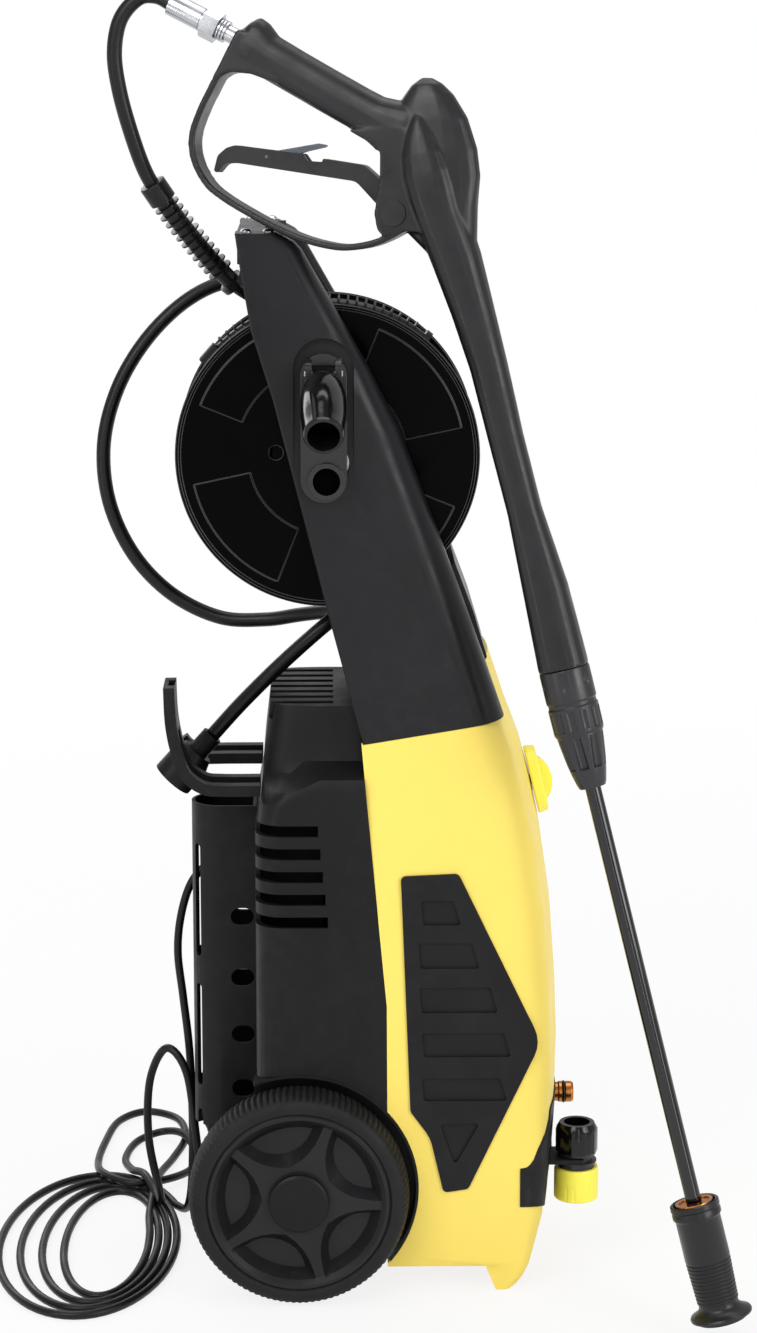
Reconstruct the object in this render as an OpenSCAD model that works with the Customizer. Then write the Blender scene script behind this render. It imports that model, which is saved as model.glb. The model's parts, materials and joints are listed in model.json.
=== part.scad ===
// Upright pressure washer: wheeled body, hose reel between two arms, spray gun with lance.
// Millimetres, +X to the front, +Z up. Pieces are drawn from a point on the floor below the wheel
// axle, and stand() moves that to the middle of the front foot, which is the part's origin.

/* [Stance] */
// Diameter of the wheels over the tyres
wheel_d = 180; // [174:1:184]
// Width of a tyre
wheel_w = 44; // [38:1:46]
// Distance between the outer faces of the wheels
track_w = 290; // [286:1:300]
// Distance from the wheel axle forward to the front foot
foot_x = 168; // [166:1:169]

/* [Body] */
// Half the width of the body at its widest
body_half_w = 113; // [112:0.5:114]
// Wall thickness of the moulded shells
wall = 4; // [3.4:0.1:4.4]
// Radius of the arches over the wheels
arch_r = 97; // [95:1:99]
// Height of the louvred deck at the back
deck_z = 483; // [478:1:486]
// Number of louvre slots in the deck
louvres = 7; // [5:1:7]

/* [Arms and reel] */
// Height of the tops of the arms
arm_top = 858; // [850:1:862]
// Height of the reel's axis
reel_z = 680; // [678:1:682]
// Distance of the reel's axis in front of the wheel axle
reel_x = 25; // [24:1:26]
// Diameter of the reel's flanges
flange_d = 242; // [234:1:244]
// Width of the reel over its flanges
reel_w = 109; // [106:1:110]
// Distance from the reel's axis to the pivot of the crank grip
crank_r = 72; // [68:1:74]
// Angle at which the crank grip hangs below level
grip_droop = 22; // [10:1:30]

/* [Hoses and cord] */
// Outside diameter of the high-pressure hose
hose_d = 12; // [11:0.5:12]
// Diameter of the power cord
cord_d = 7; // [6:0.5:7]

/* [Gun and lance] */
// Angle by which the gun's muzzle side turns out from the body
gun_yaw = 14; // [13:0.5:15]
// Angle by which the top of the gun leans towards the body
gun_lean = 3; // [2.5:0.5:3.5]
// Angle between the gun's upright and the lance
lance_lean = 15; // [14.5:0.5:15.5]
// Diameter of the lance tube
tube_d = 12.5; // [11:0.5:14]

/* [Holder] */
// Half the width of the lance holder at the back
bin_half_w = 25; // [23:1:26]
// Height of the holder's rim
bin_top = 388; // [380:1:388]

/* [Hidden] */

$fn = 64;
black = "#1b1c1e";
dark = "#26282b";
yellow = "#ffd24a";
silver = "#c9ccd0";
brass = "#c9a24a";

wheel_r = wheel_d / 2;
axle_r = 6;
running = 0.05;                     // radial clearance of a shaft that turns
gap = 0.3;                          // clearance between pieces that only meet
wheel_y = track_w / 2;              // outer face of a wheel
rim_r = 74;                         // where the tyre sits on the rim
hollow_deep = 11;                   // depth of the hollows between the wheels' spokes
spoke_turn = 36 + 3;                // turn of the first hollow
arm_in = 62;                        // inner face of the arms, from the centre plane
arm_out_low = 103;                  // outer face of the arms at the bottom
arm_out_top = 93;                   // and at the top
arm_low = 457;                      // height of the arms' lower rear corner
crank_y = -(arm_out_low - 2);       // outer face of the right arm at the crank
flange_t = 3;
hub_r = 30;                         // radius of the raised hub disc on a flange
winding_r = 104;                    // radius over the outer turns of hose
guard_r = winding_r + 11.6;         // radius at which the ribbed guard lies on the winding
gun_seat = [0, -81, arm_top + 1];   // where the gun's own frame stands
lance_foot = [217.5, -331];         // where the lance collar meets the gun, in the gun's plane
pivot = [81, 15];                   // trigger pivot in the gun's plane
latch_pivot = [-21, 56.5];          // latch pivot in the gun's plane
connector_at = [229, -58, 62];      // middle of the quick connector's lower end
knob_at = [190, 0, 403];            // middle of the switch on the sloped front
knob_tilt = 13.6;                   // how far the switch's axis tips up
drive_x = 128;                      // axis of the motor and pump
inlet_z = 133;
outlet_z = 84;

// ---------------------------------------------------------------- helpers

function unit(v) = v / norm(v);

// Points that round the corner b = [x, y, radius] of an outline that runs from a to c
function corner(a, b, c) =
  len(b) < 3 || b[2] == 0 ? [[b.x, b.y]] :
  let (p = [b.x, b.y], u = unit([a.x, a.y] - p), v = unit([c.x, c.y] - p), inner = acos(u * v),
       reach = b[2] / tan(inner / 2), middle = p + unit(u + v) * b[2] / sin(inner / 2),
       first = p + u * reach - middle, last = p + v * reach - middle,
       turn = 180 - inner, steps = max(1, ceil(turn / 15)))
  [for (k = [0:steps]) let (f = k / steps)
    middle + (first * sin((1 - f) * turn) + last * sin(f * turn)) / sin(turn)];

// An outline whose corners [x, y, radius] are rounded
function rounded(p) = let (n = len(p))
  [for (i = [0:n - 1]) each corner(p[(i + n - 1) % n], p[i], p[(i + 1) % n])];

// A smooth open curve through the points p, with a number of steps between each pair
function smooth(p, steps) = let (n = len(p) - 1)
  [for (i = [0:n - 1], k = [0:steps - 1])
     let (a = p[max(i - 1, 0)], b = p[i], c = p[i + 1], d = p[min(i + 2, n)], t = k / steps)
     0.5 * (2 * b + (c - a) * t + (2 * a - 5 * b + 4 * c - d) * t * t
            + (3 * b - a - 3 * c + d) * t * t * t),
   p[n]];

// Direction of a path at point i
function heading(p, i) = unit(p[min(i + 1, len(p) - 1)] - p[max(i - 1, 0)]);

// Outline of a strap of thickness t that follows the flat path p
function strap(p, t) = let (n = len(p) - 1)
  concat([for (i = [0:n]) let (h = heading(p, i)) p[i] + [-h.y, h.x] * t / 2],
         [for (i = [n:-1:0]) let (h = heading(p, i)) p[i] - [-h.y, h.x] * t / 2]);

// Closed skin through rings that all have the same number of points
module skin(rings) {
  n = len(rings[0]);
  last = len(rings) - 1;
  polyhedron(
    points = [for (r = rings) each r],
    faces = concat(
      [[for (i = [0:n - 1]) i]],
      [for (j = [0:last - 1], i = [0:n - 1]) let (k = (i + 1) % n)
        [j * n + i, j * n + n + i, j * n + n + k, j * n + k]],
      [[for (i = [n - 1:-1:0]) last * n + i]]),
    convexity = 6);
}

// Ring of a swept tube: middle c, tangent t, radius r, sides n
function tube_ring(c, t, side, r, n) = let (u = unit(cross(t, side)), w = cross(u, t))
  [for (k = [0:n - 1]) c + r * (cos(360 * k / n) * w + sin(360 * k / n) * u)];

// Side vectors carried along a path, so that the tube does not twist
function carried(p, i = 0, side = [0.3, 0.9, 0.2], done = []) =
  i == len(p) ? done :
  let (t = heading(p, i), s = unit(side - t * (side * t))) carried(p, i + 1, s, concat(done, [s]));

// Tube of diameter d along the path p
module tube(p, d, sides) {
  frames = carried(p);
  skin([for (i = [0:len(p) - 1]) tube_ring(p[i], heading(p, i), frames[i], d / 2, sides)]);
}

module stand() translate([-foot_x, 0, 0]) children();

// A side-view outline (x forward, y up) made w wide about the centre plane
module across(w) rotate([90, 0, 0]) linear_extrude(w, center = true) children();

// The same from y = a to y = b, with a < b
module between(a, b) translate([0, b, 0]) rotate([90, 0, 0]) linear_extrude(b - a) children();

// A front-view outline (x to the left side, y up) made deep from x = a to x = b
module lengthwise(a, b) translate([a, 0, 0]) rotate([90, 0, 90]) linear_extrude(b - a) children();

// A cylinder lying across the machine, from y = a to y = b
module crosswise(r, a, b) translate([0, b, 0]) rotate([90, 0, 0]) cylinder(r = r, h = b - a);

// An upright rounded slot, h tall and w wide
module slot(w, h) union() {
  square([w, h - w], center = true);
  for (s = [-1, 1]) translate([0, s * (h - w) / 2]) circle(d = w, $fn = 32);
}

// ---------------------------------------------------------------- body shells

// Front of the body on the centre plane, as [height, distance in front of the axle]
front_edge = [[0, 176], [4, 181], [11, 186], [22, 191], [62, 204], [106, 210], [150, 213], [195, 214], [245, 212],
              [313, 207], [373, 198], [410, 190], [444, 181], [475, 169], [517, 155]];
// Half the width of the body as [height, half width]
side_edge = [[0, 107], [22, body_half_w - 3], [62, body_half_w], [345, body_half_w],
             [400, body_half_w - 2.5], [440, 106], [475, arm_out_low], [530, arm_out_low]];
// The seam between the two shells, as [x, height]
seam = [[64, 545], [64, 460], [51, 458], [59, 369], [71, 244], [72, 55]];

// Radius of the front corners, and how far the front bulges between them, by height
corner_r = [[0, 8], [22, 10], [62, 18], [120, 26]];
bulge = [[0, 3], [22, 3], [120, 9]];

function front_ring(z, grow) =
  let (xf = lookup(z, front_edge) + grow, hw = lookup(z, side_edge) + grow, r = lookup(z, corner_r),
       crown = lookup(z, bulge), flat = hw - r,
       right = concat([[20, -hw, z]],
         [for (a = [0:15:90]) [xf - crown - r + r * sin(a), -flat - r * cos(a), z]],
         [for (f = [0.66, 0.33]) [xf - crown * f * f, -flat * f, z]]))
  concat(right, [[xf, 0, z]], [for (i = [len(right) - 1:-1:0]) [right[i].x, -right[i].y, z]]);

module front_loft(grow, low = 22, high = 517) {
  levels = concat([low], [for (e = front_edge) if (e[0] > low && e[0] < high) e[0]], [high]);
  skin([for (z = levels) front_ring(z, grow)]);
}

// Everything above the sloping roof under the reel, lowered by the given depth
module above_roof(depth) across(260)
  polygon([[20, deck_z - depth], [64, deck_z + 0.5 - depth], [152, 517 - depth], [260, 522 - depth],
           [260, 600], [20, 600]]);

// Everything behind the seam
module behind_seam() across(300) polygon(concat(seam, [[72, -20], [-200, -20], [-200, 545]]));

// Back of an arm at height z
function arm_back(z) = lookup(z, arm_rear);

// The space that the two arms stand in, from their backs forward
module arm_space() for (s = [0, 1]) mirror([0, s, 0]) between(-140, -arm_in + 0.2)
  polygon([[arm_back(arm_low) - gap, arm_low], [53, arm_low], [164, 475], [240, 487], [240, 620],
           [arm_back(620) - gap, 620], [arm_back(538) - gap, 538]]);

module arch_space(r) for (s = [0, 1]) mirror([0, s, 0])
  translate([0, 0, wheel_r]) crosswise(r, -130, -(body_half_w - 21));

// Outline of the side panel, narrow at the top and pointed at the back of the foot
function panel_outline() = rounded([[82, 352, 4], [128, 354, 5], [195, 214, 26], [137, 90, 5],
                                    [117, 87, 4], [106, 134, 30], [90, 156, 5]]);

// Outline of the front insert as seen from the front, with ends that wrap round the corners
function insert_outline(grow) = let (half = [[90, 148 + grow, 16], [106 + grow, 124, 20],
    [111 + grow, 108, 6], [130, 92], [130, 79 - grow], [60, 58 - grow, 60]])
  rounded(concat([[0, 50 - grow, 60]], [for (i = [5:-1:0]) half[i]],
                 [for (p = half) concat([-p.x, p.y], len(p) > 2 ? [p[2]] : [])]));
insert_back = 179.4;                // x of its ends

module front_shell() color(yellow) stand() difference() {
  union() {
    front_loft(0);
    // the foot, a bar across the front whose toe carries on the curve of the body
    intersection() {
      across(2 * body_half_w) polygon([[151, 24], [152, 21.5], [160.5, 0], [200, 0], [200, 24]]);
      front_loft(0, 0, 24);
    }
  }
  front_hollow();
  behind_seam();
  arm_space();
  above_roof(0);
  arch_space(arch_r);
  for (s = [0, 1]) mirror([0, s, 0]) between(-130, -body_half_w + 2)
    polygon(panel_outline());
  difference() {
    lengthwise(insert_back - gap, 260) polygon(insert_outline(gap));
    front_loft(-2, 20);
  }
  // bores for the switch, the water inlet and the outlet
  translate(knob_at) rotate([0, 90 - knob_tilt, 0]) translate([0, 0, -40]) cylinder(r = 9, h = 80);
  for (z = [inlet_z, outlet_z]) translate([150, 0, z]) rotate([0, 90, 0]) cylinder(r = 15, h = 90);
}

module front_hollow() difference() {
  front_loft(-wall, 22 + wall, 516);
  above_roof(wall);
}

// Back of the body as [height, x], and half the width of the rear shell as [height, half width]
back_edge = [[60, -31], [90, -34], [385, -34], [410, -29], [440, -27], [deck_z, -22]];
shoulder = [[60, body_half_w - 1], [90, body_half_w], [401, body_half_w], [408, body_half_w - 1],
            [411, 110], [419, 87], [424, 83], [455, 79.5], [deck_z, 74]];

// The shoulder climbs by this much from the back forward
function lift(x) = 19 * min(max((x + 30) / 48, 0), 1);

function rear_side(x, z) = lookup(min(z, max(z - lift(x), 400)), shoulder);

function rear_ring(z, grow) =
  let (xr = lookup(z, back_edge) - grow, r = 22, half = concat(
    [for (a = [90:-15:0]) let (x = xr + r - r * sin(a), w = rear_side(x, z) + grow)
      [x, w - r + r * cos(a)]],
    [for (x = [6, 18, 90]) [x, rear_side(x, z) + grow]]))
  concat([for (i = [len(half) - 1:-1:0]) [half[i].x, half[i].y, z]], [for (p = half) [p.x, -p.y, z]]);

module rear_loft(grow, low, high) {
  levels = concat([low], [for (z = [90, 385, 401, 408, 411, 419, 424, 430, 440, 455, 474])
                            if (z > low && z < high) z], [high]);
  skin([for (z = levels) rear_ring(z, grow)]);
}

module rear_shell() color(black) stand() difference() {
  rear_loft(0, 60, deck_z);
  intersection() {
    rear_loft(-wall, 59, deck_z);
    translate([-100, -150, 0]) cube([300, 300, deck_z - wall]);
  }
  difference() {
    translate([-100, -150, 0]) cube([300, 300, 600]);
    behind_seam();
  }
  arm_space();
  arch_space(arch_r);
  // louvres along the deck that run out over its back edge
  for (i = [0:louvres - 1]) translate([-60, (i - (louvres - 1) / 2) * 20.8 - 4.6, deck_z - 13])
    cube([89, 9.2, 20]);
  // five slots that wrap round each rear corner
  for (s = [-1, 1], i = [0:4]) mirror([0, s > 0 ? 1 : 0, 0])
    translate([-45, -125, 309.5 + i * 18.7]) cube([69 - i * 1.9, 40, 9]);
  translate([-50, 48, 322]) rotate([0, 90, 0]) cylinder(r = 7, h = 40);
}

// Black panels let into both sides, with sunk windows that have slanted front ends
module side_panels() color(dark) stand() for (s = [0, 1]) mirror([0, s, 0]) difference() {
  between(-body_half_w - 1.6, -body_half_w + 2) polygon(panel_outline());
  between(-140, -body_half_w + 0.9) {
    for (w = [[332, 100, 128, 20], [297, 98, 143, 21], [260, 99, 158, 21], [222, 101, 169, 20],
              [184, 101, 166, 19]])
      polygon(rounded([[w[1], w[0] - w[3], 2], [w[2] + 2, w[0] - w[3], 2], [w[2] - 4, w[0], 2],
                       [w[1] - 2, w[0], 2]]));
    polygon(rounded([[114, 145, 2], [146, 146, 2], [126, 110, 2]]));
  }
}

// Fork on the insert that the quick connector's neck hangs in
module connector_fork() translate([connector_at.x, connector_at.y, connector_at.z + 33.7])
  linear_extrude(3.6) difference() {
    union() {
      translate([-30, -17]) square([33, 34]);
      translate([3, 0]) for (s = [-1, 1]) translate([0, s * 15.1]) circle(r = 1.9, $fn = 24);
    }
    circle(r = 13.2);
    translate([0, -13.2]) square([20, 26.4]);
  }

module front_insert() color(dark) stand() difference() {
  union() {
    intersection() {
      lengthwise(insert_back, 260) polygon(insert_outline(0));
      front_loft(1.4, 20);
    }
    connector_fork();
  }
  front_loft(-2, 20);
  // three grip slots on each side of the fittings
  for (s = [-1, 1], i = [0:2]) lengthwise(150, 260)
    translate([s * (74 + i * 5), 128 - i * 22]) rotate([0, 0, s * (90 - 14)]) slot(9, 36 - i * 3);
  for (z = [inlet_z, outlet_z]) translate([150, 0, z]) rotate([0, 90, 0])
    cylinder(r = z == inlet_z ? 10 : 15, h = 90);
}

// ---------------------------------------------------------------- arms

arm_rear = [[858, -46], [830, -42], [784, -34], [729, -17], [650, 3], [538, 31], [440, 57]];
arm_front = [[858, -14], [851, -1], [845, 5], [807, 26.5], [753, 57.5], [706, 81], [642, 105], [578, 129],
             [522, 149], [440, 177]];
arm_outer = [[440, arm_out_low], [640, arm_out_low - 2], [784, 99], [858, arm_out_top]];

// Radius of the arms' outer front corner at each height
arm_round = [[440, 27], [720, 25], [800, 17], [858, 14]];

function arm_ring(z) =
  let (xr = lookup(z, arm_rear), xf = lookup(z, arm_front), yo = lookup(z, arm_outer),
       r = lookup(z, arm_round))
  concat([[xr, -arm_in, z], [xr, -yo + 1.5, z], [xr + 1.5, -yo, z]],
         [for (a = [0:15:90]) [xf - r + r * sin(a), -yo + r - r * cos(a), z]],
         [for (a = [0:30:90]) [xf - 6 + 6 * cos(a), -arm_in - 6 + 6 * sin(a), z]]);

module arm() color(black) difference() {
  skin([for (z = [440, 480, 522, 550, 578, 610, 642, 675, 706, 730, 753, 784, 807, 830, 845, 851, 858])
    arm_ring(z)]);
  across(300) polygon([[-20, 400], [240, 400], [240, 487], [164, 475], [53, arm_low], [-20, arm_low]]);
  translate([reel_x, 0, reel_z]) crosswise(17, -120, -40);
}

module right_arm() stand() difference() {
  arm();
  // pocket that the folded crank lies in, deep at the top and fading out at the bottom
  color(black) translate([22, -104, 656]) rotate([-5.2, 0, 0]) between(-30, 2)
    translate([0, 49]) slot(47, 146);
}
module left_arm() stand() mirror([0, 1, 0]) arm();

// Handle bar across the top, with wide fillets into the arms
module top_crossbar() color(black) stand() difference() {
  translate([0, 0, arm_top - 26]) linear_extrude(26) polygon(rounded([
    [-45, -arm_in], [-8, -arm_in], [-24, -arm_in + 24, 26], [-24, arm_in - 24, 26],
    [-8, arm_in], [-45, arm_in]]));
  // the grip's rounded underside
  for (x = [-45, -24]) translate([x, 0, arm_top - 26]) rotate([90, 0, 0])
    cylinder(r = 5, h = 2 * arm_in - 40, center = true);
}

// Cover between the arms under the reel
module arm_bridge() color(black) stand() across(2 * arm_in) polygon([
  [122, 594], [126, 596], [141, 556], [152, 519.5], [150.5, 516.8], [147, 515.8], [137, 555]]);

// ---------------------------------------------------------------- chassis and wheels

module chassis() color(dark) stand() difference() {
  union() {
    across(176) polygon([[-27, 66], [-27, 61], [70, 61], [74, 27], [180, 27], [180, 32], [79, 32],
                         [75, 66]]);
    // two pedestals that carry the axle
    for (s = [-1, 1]) between(s * 76 - 12, s * 76 + 12)
      polygon(rounded([[-26, 64], [26, 64], [13, 104, 12], [-13, 104, 12]]));
    // saddle under the motor
    between(-50, 50) polygon([[78, 30], [150, 30], [150, 46], [78, 46]]);
  }
  translate([0, 0, wheel_r]) crosswise(axle_r + 0.02, -100, 100);
}

// Rings that line the two wheel arches, each with the wall behind its wheel
module arch_liners() color(dark) stand() for (s = [0, 1]) mirror([0, s, 0]) intersection() {
  translate([0, 0, wheel_r]) difference() {
    crosswise(arch_r - 0.02, -body_half_w - 0.6, -(body_half_w - 20.8));
    crosswise(arch_r - 2.4, -body_half_w - 2, -(body_half_w - 18.6));
    crosswise(13, -130, -60);
  }
  across(300) polygon([[-31, 62], [-40, 260], [125, 260], [125, 27], [74, 27], [70, 62]]);
}

module axle() color(silver) stand() translate([0, 0, wheel_r]) {
  crosswise(axle_r, -wheel_y + 6, wheel_y - 6);
  // washers pushed on outside the wheels
  for (s = [-1, 1]) translate([0, s * (wheel_y - 8.4), 0]) crosswise(11, -0.7, 0.7);
}

// Outline of a hollow between two spokes: root is its distance from the axle, rim its outer radius
// and land the half width of the spokes beside it at the rim
function hollow_outline(root, rim, land) =
  let (half = 36, near = root * cos(half), flare = root * sin(half) - land,
       side = [for (k = [0:5]) let (r = near + (rim - near) * k / 5, f = (rim - r) / (rim - near),
                                    w = land + flare * pow(f, 2.8))
                 [r * cos(half) + w * sin(half), r * sin(half) - w * cos(half)]],
       tip = side[5], end = atan2(tip.y, tip.x))
  concat(side, [for (a = [end:-end / 3:-end]) norm(tip) * [cos(a), sin(a)]],
         [for (k = [4:-1:1]) [side[k].x, -side[k].y]]);

// The hollow with sloping flanks down to its floor
module spoke_hollow() hull() {
  linear_extrude(0.1) polygon(hollow_outline(29.4, 66.5, 3.75));
  translate([0, 0, -hollow_deep]) linear_extrude(0.1) polygon(hollow_outline(39, 58.5, 10.5));
}

// A wheel's moulding, with its outer face at z = 0 and its back towards -z
module wheel() color(black) difference() {
  rotate_extrude($fn = 96) polygon([
    [axle_r + running, -2], [25, -2], [25, -4], [66, -4], [70, 0], [rim_r - 1.5, 0], [rim_r, -1.5],
    [rim_r, -wheel_w + 2], [70, -wheel_w + 2], [68, -19], [24, -19], [14, -20],
    [14, -wheel_w + 2], [axle_r + running, -wheel_w + 2]]);
  for (i = [0:4]) rotate([0, 0, spoke_turn + 72 * i]) translate([0, 0, -3.9]) spoke_hollow();
  translate([0, 0, -9.2]) cylinder(r = 11.6, h = 20);
  // seat for the cap
  translate([0, 0, -3.4]) cylinder(r = 24.3, h = 10);
}

// Rounded tyre with cross ribs
module tyre() color(black) difference() {
  rotate_extrude($fn = 96) polygon(rounded([
    [rim_r, -1.5], [rim_r + 3, 1, 3], [wheel_r - 4, -2, 10], [wheel_r, -wheel_w / 2 + 2, 30],
    [wheel_r - 4, -wheel_w + 2, 10], [rim_r + 3, -wheel_w + 1, 3], [rim_r, -wheel_w + 2]]));
  for (i = [0:59]) rotate([0, 0, 6 * i]) translate([wheel_r - 2.2, -1.8, -wheel_w])
    cube([8, 3.6, wheel_w + 4]);
}

module hub_cap() color(dark) union() {
  translate([0, 0, -3.4]) cylinder(r = 24.2, h = 4.4);
  translate([0, 0, 1]) cylinder(r1 = 24.2, r2 = 22, h = 1.6);
}

// Puts a wheel piece on the right or the left end of the axle
module on_axle(side) stand() translate([0, side * wheel_y, wheel_r]) rotate([-side * 90, 0, 0])
  mirror([0, side > 0 ? 0 : 1, 0]) children();
module right_wheel() on_axle(-1) wheel();
module left_wheel() on_axle(1) wheel();
module right_tyre() on_axle(-1) tyre();
module left_tyre() on_axle(1) tyre();
module right_hub_cap() on_axle(-1) hub_cap();
module left_hub_cap() on_axle(1) hub_cap();

// ---------------------------------------------------------------- reel and crank

// Puts pieces drawn about z on the reel's axis, with +z towards the right side
module on_reel() stand() translate([reel_x, 0, reel_z]) rotate([90, 0, 0]) children();

// A flange with a rolled rim, raised pads and a finger hole. Its inner face is at z = 0
module flange() difference() {
  union() {
    rotate_extrude($fn = 96) polygon([
      [20, 0], [flange_d / 2 - 3, 0], [flange_d / 2 - 1, 0.6], [flange_d / 2, 2.4],
      [flange_d / 2 - 0.6, 4.6], [flange_d / 2 - 3, 5], [flange_d / 2 - 4.6, flange_t],
      [hub_r, flange_t], [hub_r - 1, flange_t + 1.4], [20, flange_t + 1.4]]);
    for (i = [0:3]) rotate([0, 0, 90 * i + 12]) rotate_extrude(angle = 56, $fn = 96)
      polygon([[i % 2 == 0 ? 62 : 72, flange_t - 0.5], [109, flange_t - 0.5], [108, flange_t + 1],
               [i % 2 == 0 ? 63 : 73, flange_t + 1]]);
  }
  rotate([0, 0, 176]) translate([41, 0, -1]) cylinder(r = 5.6, h = 12);
}

module right_reel_flange() color(black) on_reel() translate([0, 0, reel_w / 2 - 5]) flange();
module left_reel_flange() color(black) on_reel() mirror([0, 0, 1])
  translate([0, 0, reel_w / 2 - 5]) flange();

// Drum with the journals that turn in the arms, the right one carrying the crank
module reel_drum() color(dark) on_reel() difference() {
  union() {
    cylinder(r = 44, h = reel_w - 10, center = true);
    cylinder(r = 20, h = reel_w - 7.2, center = true);
    cylinder(r = 12, h = 2 * -crank_y, center = true);
  }
  translate([0, 0, -110]) cylinder(r = 5 + running, h = 60);
}

// The hose as wound: one closed form whose outer turns show
module hose_winding() color(black) on_reel() union() {
  difference() {
    cylinder(r = winding_r - hose_d / 2, h = reel_w - 11, center = true);
    cylinder(r = 44, h = reel_w, center = true);
  }
  for (i = [0:6]) translate([0, 0, (i - 3) * (hose_d + 0.6)])
    rotate_extrude() translate([winding_r - hose_d / 2 - 0.05, 0]) circle(d = hose_d, $fn = 24);
}

// Ribbed guard over the first turn of hose, along the top of the winding
module winding_bend_guard() color(black) on_reel() translate([0, 0, 33]) {
  rotate([0, 0, 48]) rotate_extrude(angle = 96) translate([guard_r, 0]) circle(d = 16, $fn = 24);
  for (a = [50:7:142]) rotate([0, 0, a]) rotate_extrude(angle = 1.6)
    translate([guard_r + 0.4, 0]) circle(d = 22, $fn = 24);
}

// Sleeves in the arms that the journals turn in
module reel_bearings() color(silver) on_reel() for (s = [-1, 1]) mirror([0, 0, s > 0 ? 0 : 1])
  translate([0, 0, arm_in]) difference() {
    cylinder(r = 17, h = 30);
    translate([0, 0, -1]) cylinder(r = 12 + running, h = 32);
  }

// Fixed swivel that feeds water into the reel's left journal
module hose_swivel() color(brass) stand() translate([reel_x, 0, reel_z]) {
  crosswise(5, 60, 116);
  translate([0, 116, 0]) rotate([0, -20, 0]) {
    crosswise(11, -10, 12);
    cylinder(r = 7, h = 26);
  }
}

// Crank arm, a plate with rounded ends outside the right arm and a cup near its lower end
module crank_arm() color(dark) stand() difference() {
  union() {
    between(crank_y - 7, crank_y - 1) translate([22, 709]) slot(36, 116);
    translate([24, 0, 668]) crosswise(14.5, crank_y - 11, crank_y - 4);
    translate([reel_x, 0, reel_z]) crosswise(12, crank_y - 2, crank_y);
    // ears that hold the grip's pin
    for (x = [8, 31]) translate([x, 0, 0]) lengthwise(0, 5)
      polygon(rounded([[crank_y - 4, 740], [crank_y - 16, 744, 7], [crank_y - 16, 760, 7],
                       [crank_y - 4, 764]]));
  }
  translate([24, 0, 668]) crosswise(10.6, crank_y - 14, crank_y - 5);
  translate([0, crank_y - 10, reel_z + crank_r]) rotate([0, 90, 0]) cylinder(r = 2.5, h = 60);
  // room between the ears for the grip's rounded root
  translate([13, crank_y - 10, reel_z + crank_r]) rotate([0, 90, 0]) cylinder(r = 6.6, h = 18);
}

module at_grip() stand() translate([22, crank_y - 10, reel_z + crank_r])
  rotate([90 + grip_droop, 0, 0]) children();

module crank_pin() color(silver) stand() translate([7, crank_y - 10, reel_z + crank_r])
  rotate([0, 90, 0]) cylinder(r = 2.46, h = 30);

// Barrel-shaped hollow grip that folds down on its pin
module crank_grip() color(black) at_grip() difference() {
  union() {
    rotate_extrude($fn = 48) polygon(concat(
      [[0, 16], [11, 16]],
      smooth([[12, 17], [16, 28], [18, 46], [17.6, 66], [16, 86], [15.4, 96]], 3),
      [[14.6, 98], [12.4, 98], [12, 97], [12, 36], [0, 32]]));
    translate([-8.7, -5.5, -2]) cube([17.4, 11, 20]);
    rotate([0, 90, 0]) cylinder(r = 5.5, h = 17.4, center = true);
  }
  rotate([0, 90, 0]) cylinder(r = 2.5 + running, h = 60, center = true);
}

// ---------------------------------------------------------------- holder and hooks

function bin_outline(grow) = let (r = bin_half_w + grow)
  concat([[-34 - (grow < 0 ? 3 : 0), r]],
         [for (a = [90:10:270]) [-63 + r * cos(a), r * sin(a)]],
         [[-34 - (grow < 0 ? 3 : 0), -r]]);

module lance_holder() color(black) stand() difference() {
  translate([0, 0, 112]) linear_extrude(bin_top - 112) polygon(bin_outline(0));
  translate([0, 0, 115]) linear_extrude(bin_top) polygon(bin_outline(-2.6));
  // rounded holes in both side walls, next to the body
  for (z = [146, 193, 242, 294]) between(-40, 40) translate([-46.5, z])
    rotate([0, 0, 90]) slot(15, 19);
  // long upright slots near the back
  for (s = [-1, 1], z = [[306, 96], [190, 88], [112, 26]]) translate([-63, 0, z[0]])
    rotate([0, 0, s * 36]) translate([-40, 0, 0]) rotate([90, 0, 90]) linear_extrude(30) slot(7, z[1]);
}

// J-shaped hook with a raised rim along each edge
module cord_hook(path, y0, y1) color(black) stand() difference() {
  between(y0, y1) polygon(strap(smooth(path, 4), 9));
  between(y0 + 11, y1 - 11) polygon(strap([for (p = smooth(path, 4)) p + [1.6, 2.6]], 5));
}
module right_cord_hook() cord_hook([[-102, 498], [-101, 470], [-97, 447], [-90, 427], [-76, 415.5],
                                    [-60, 413.5], [-30, 413.5]], -78, -36);
module left_cord_hook() cord_hook([[-98, 424], [-92, 417], [-82, 413.5], [-60, 413.5], [-30, 413.5]],
                                  36, 78);

// ---------------------------------------------------------------- switch and water fittings

module on_front() stand() translate(knob_at) rotate([0, 90 - knob_tilt, 0]) children();

module switch_knob() color(yellow) on_front() difference() {
  union() {
    rotate_extrude() polygon([[0, 2], [27.6, 2], [28.6, 3.2], [27.4, 9.8], [26.2, 11], [0, 12.4]]);
    // finger bar across the knob, highest in its middle
    rotate([90, 0, 0]) linear_extrude(9, center = true) polygon(concat([[-24, 8]],
      [for (a = [-60:15:60]) [23 * sin(a) / sin(60), -9.5 + 29 * cos(a)]], [[24, 8]]));
  }
  translate([0, 0, 1]) cylinder(r = 4.05, h = 9);
}

// Switch behind the front, with the spindle that the knob turns on
module rotary_switch() color(dark) on_front() {
  cylinder(r = 4, h = 9.5);
  translate([0, 0, -6]) cylinder(r = 8.8, h = 7.6);
  translate([-20, -20, -36]) cube([40, 40, 30]);
}

module facing(z) stand() translate([0, 0, z]) rotate([0, 90, 0]) children();

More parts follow.
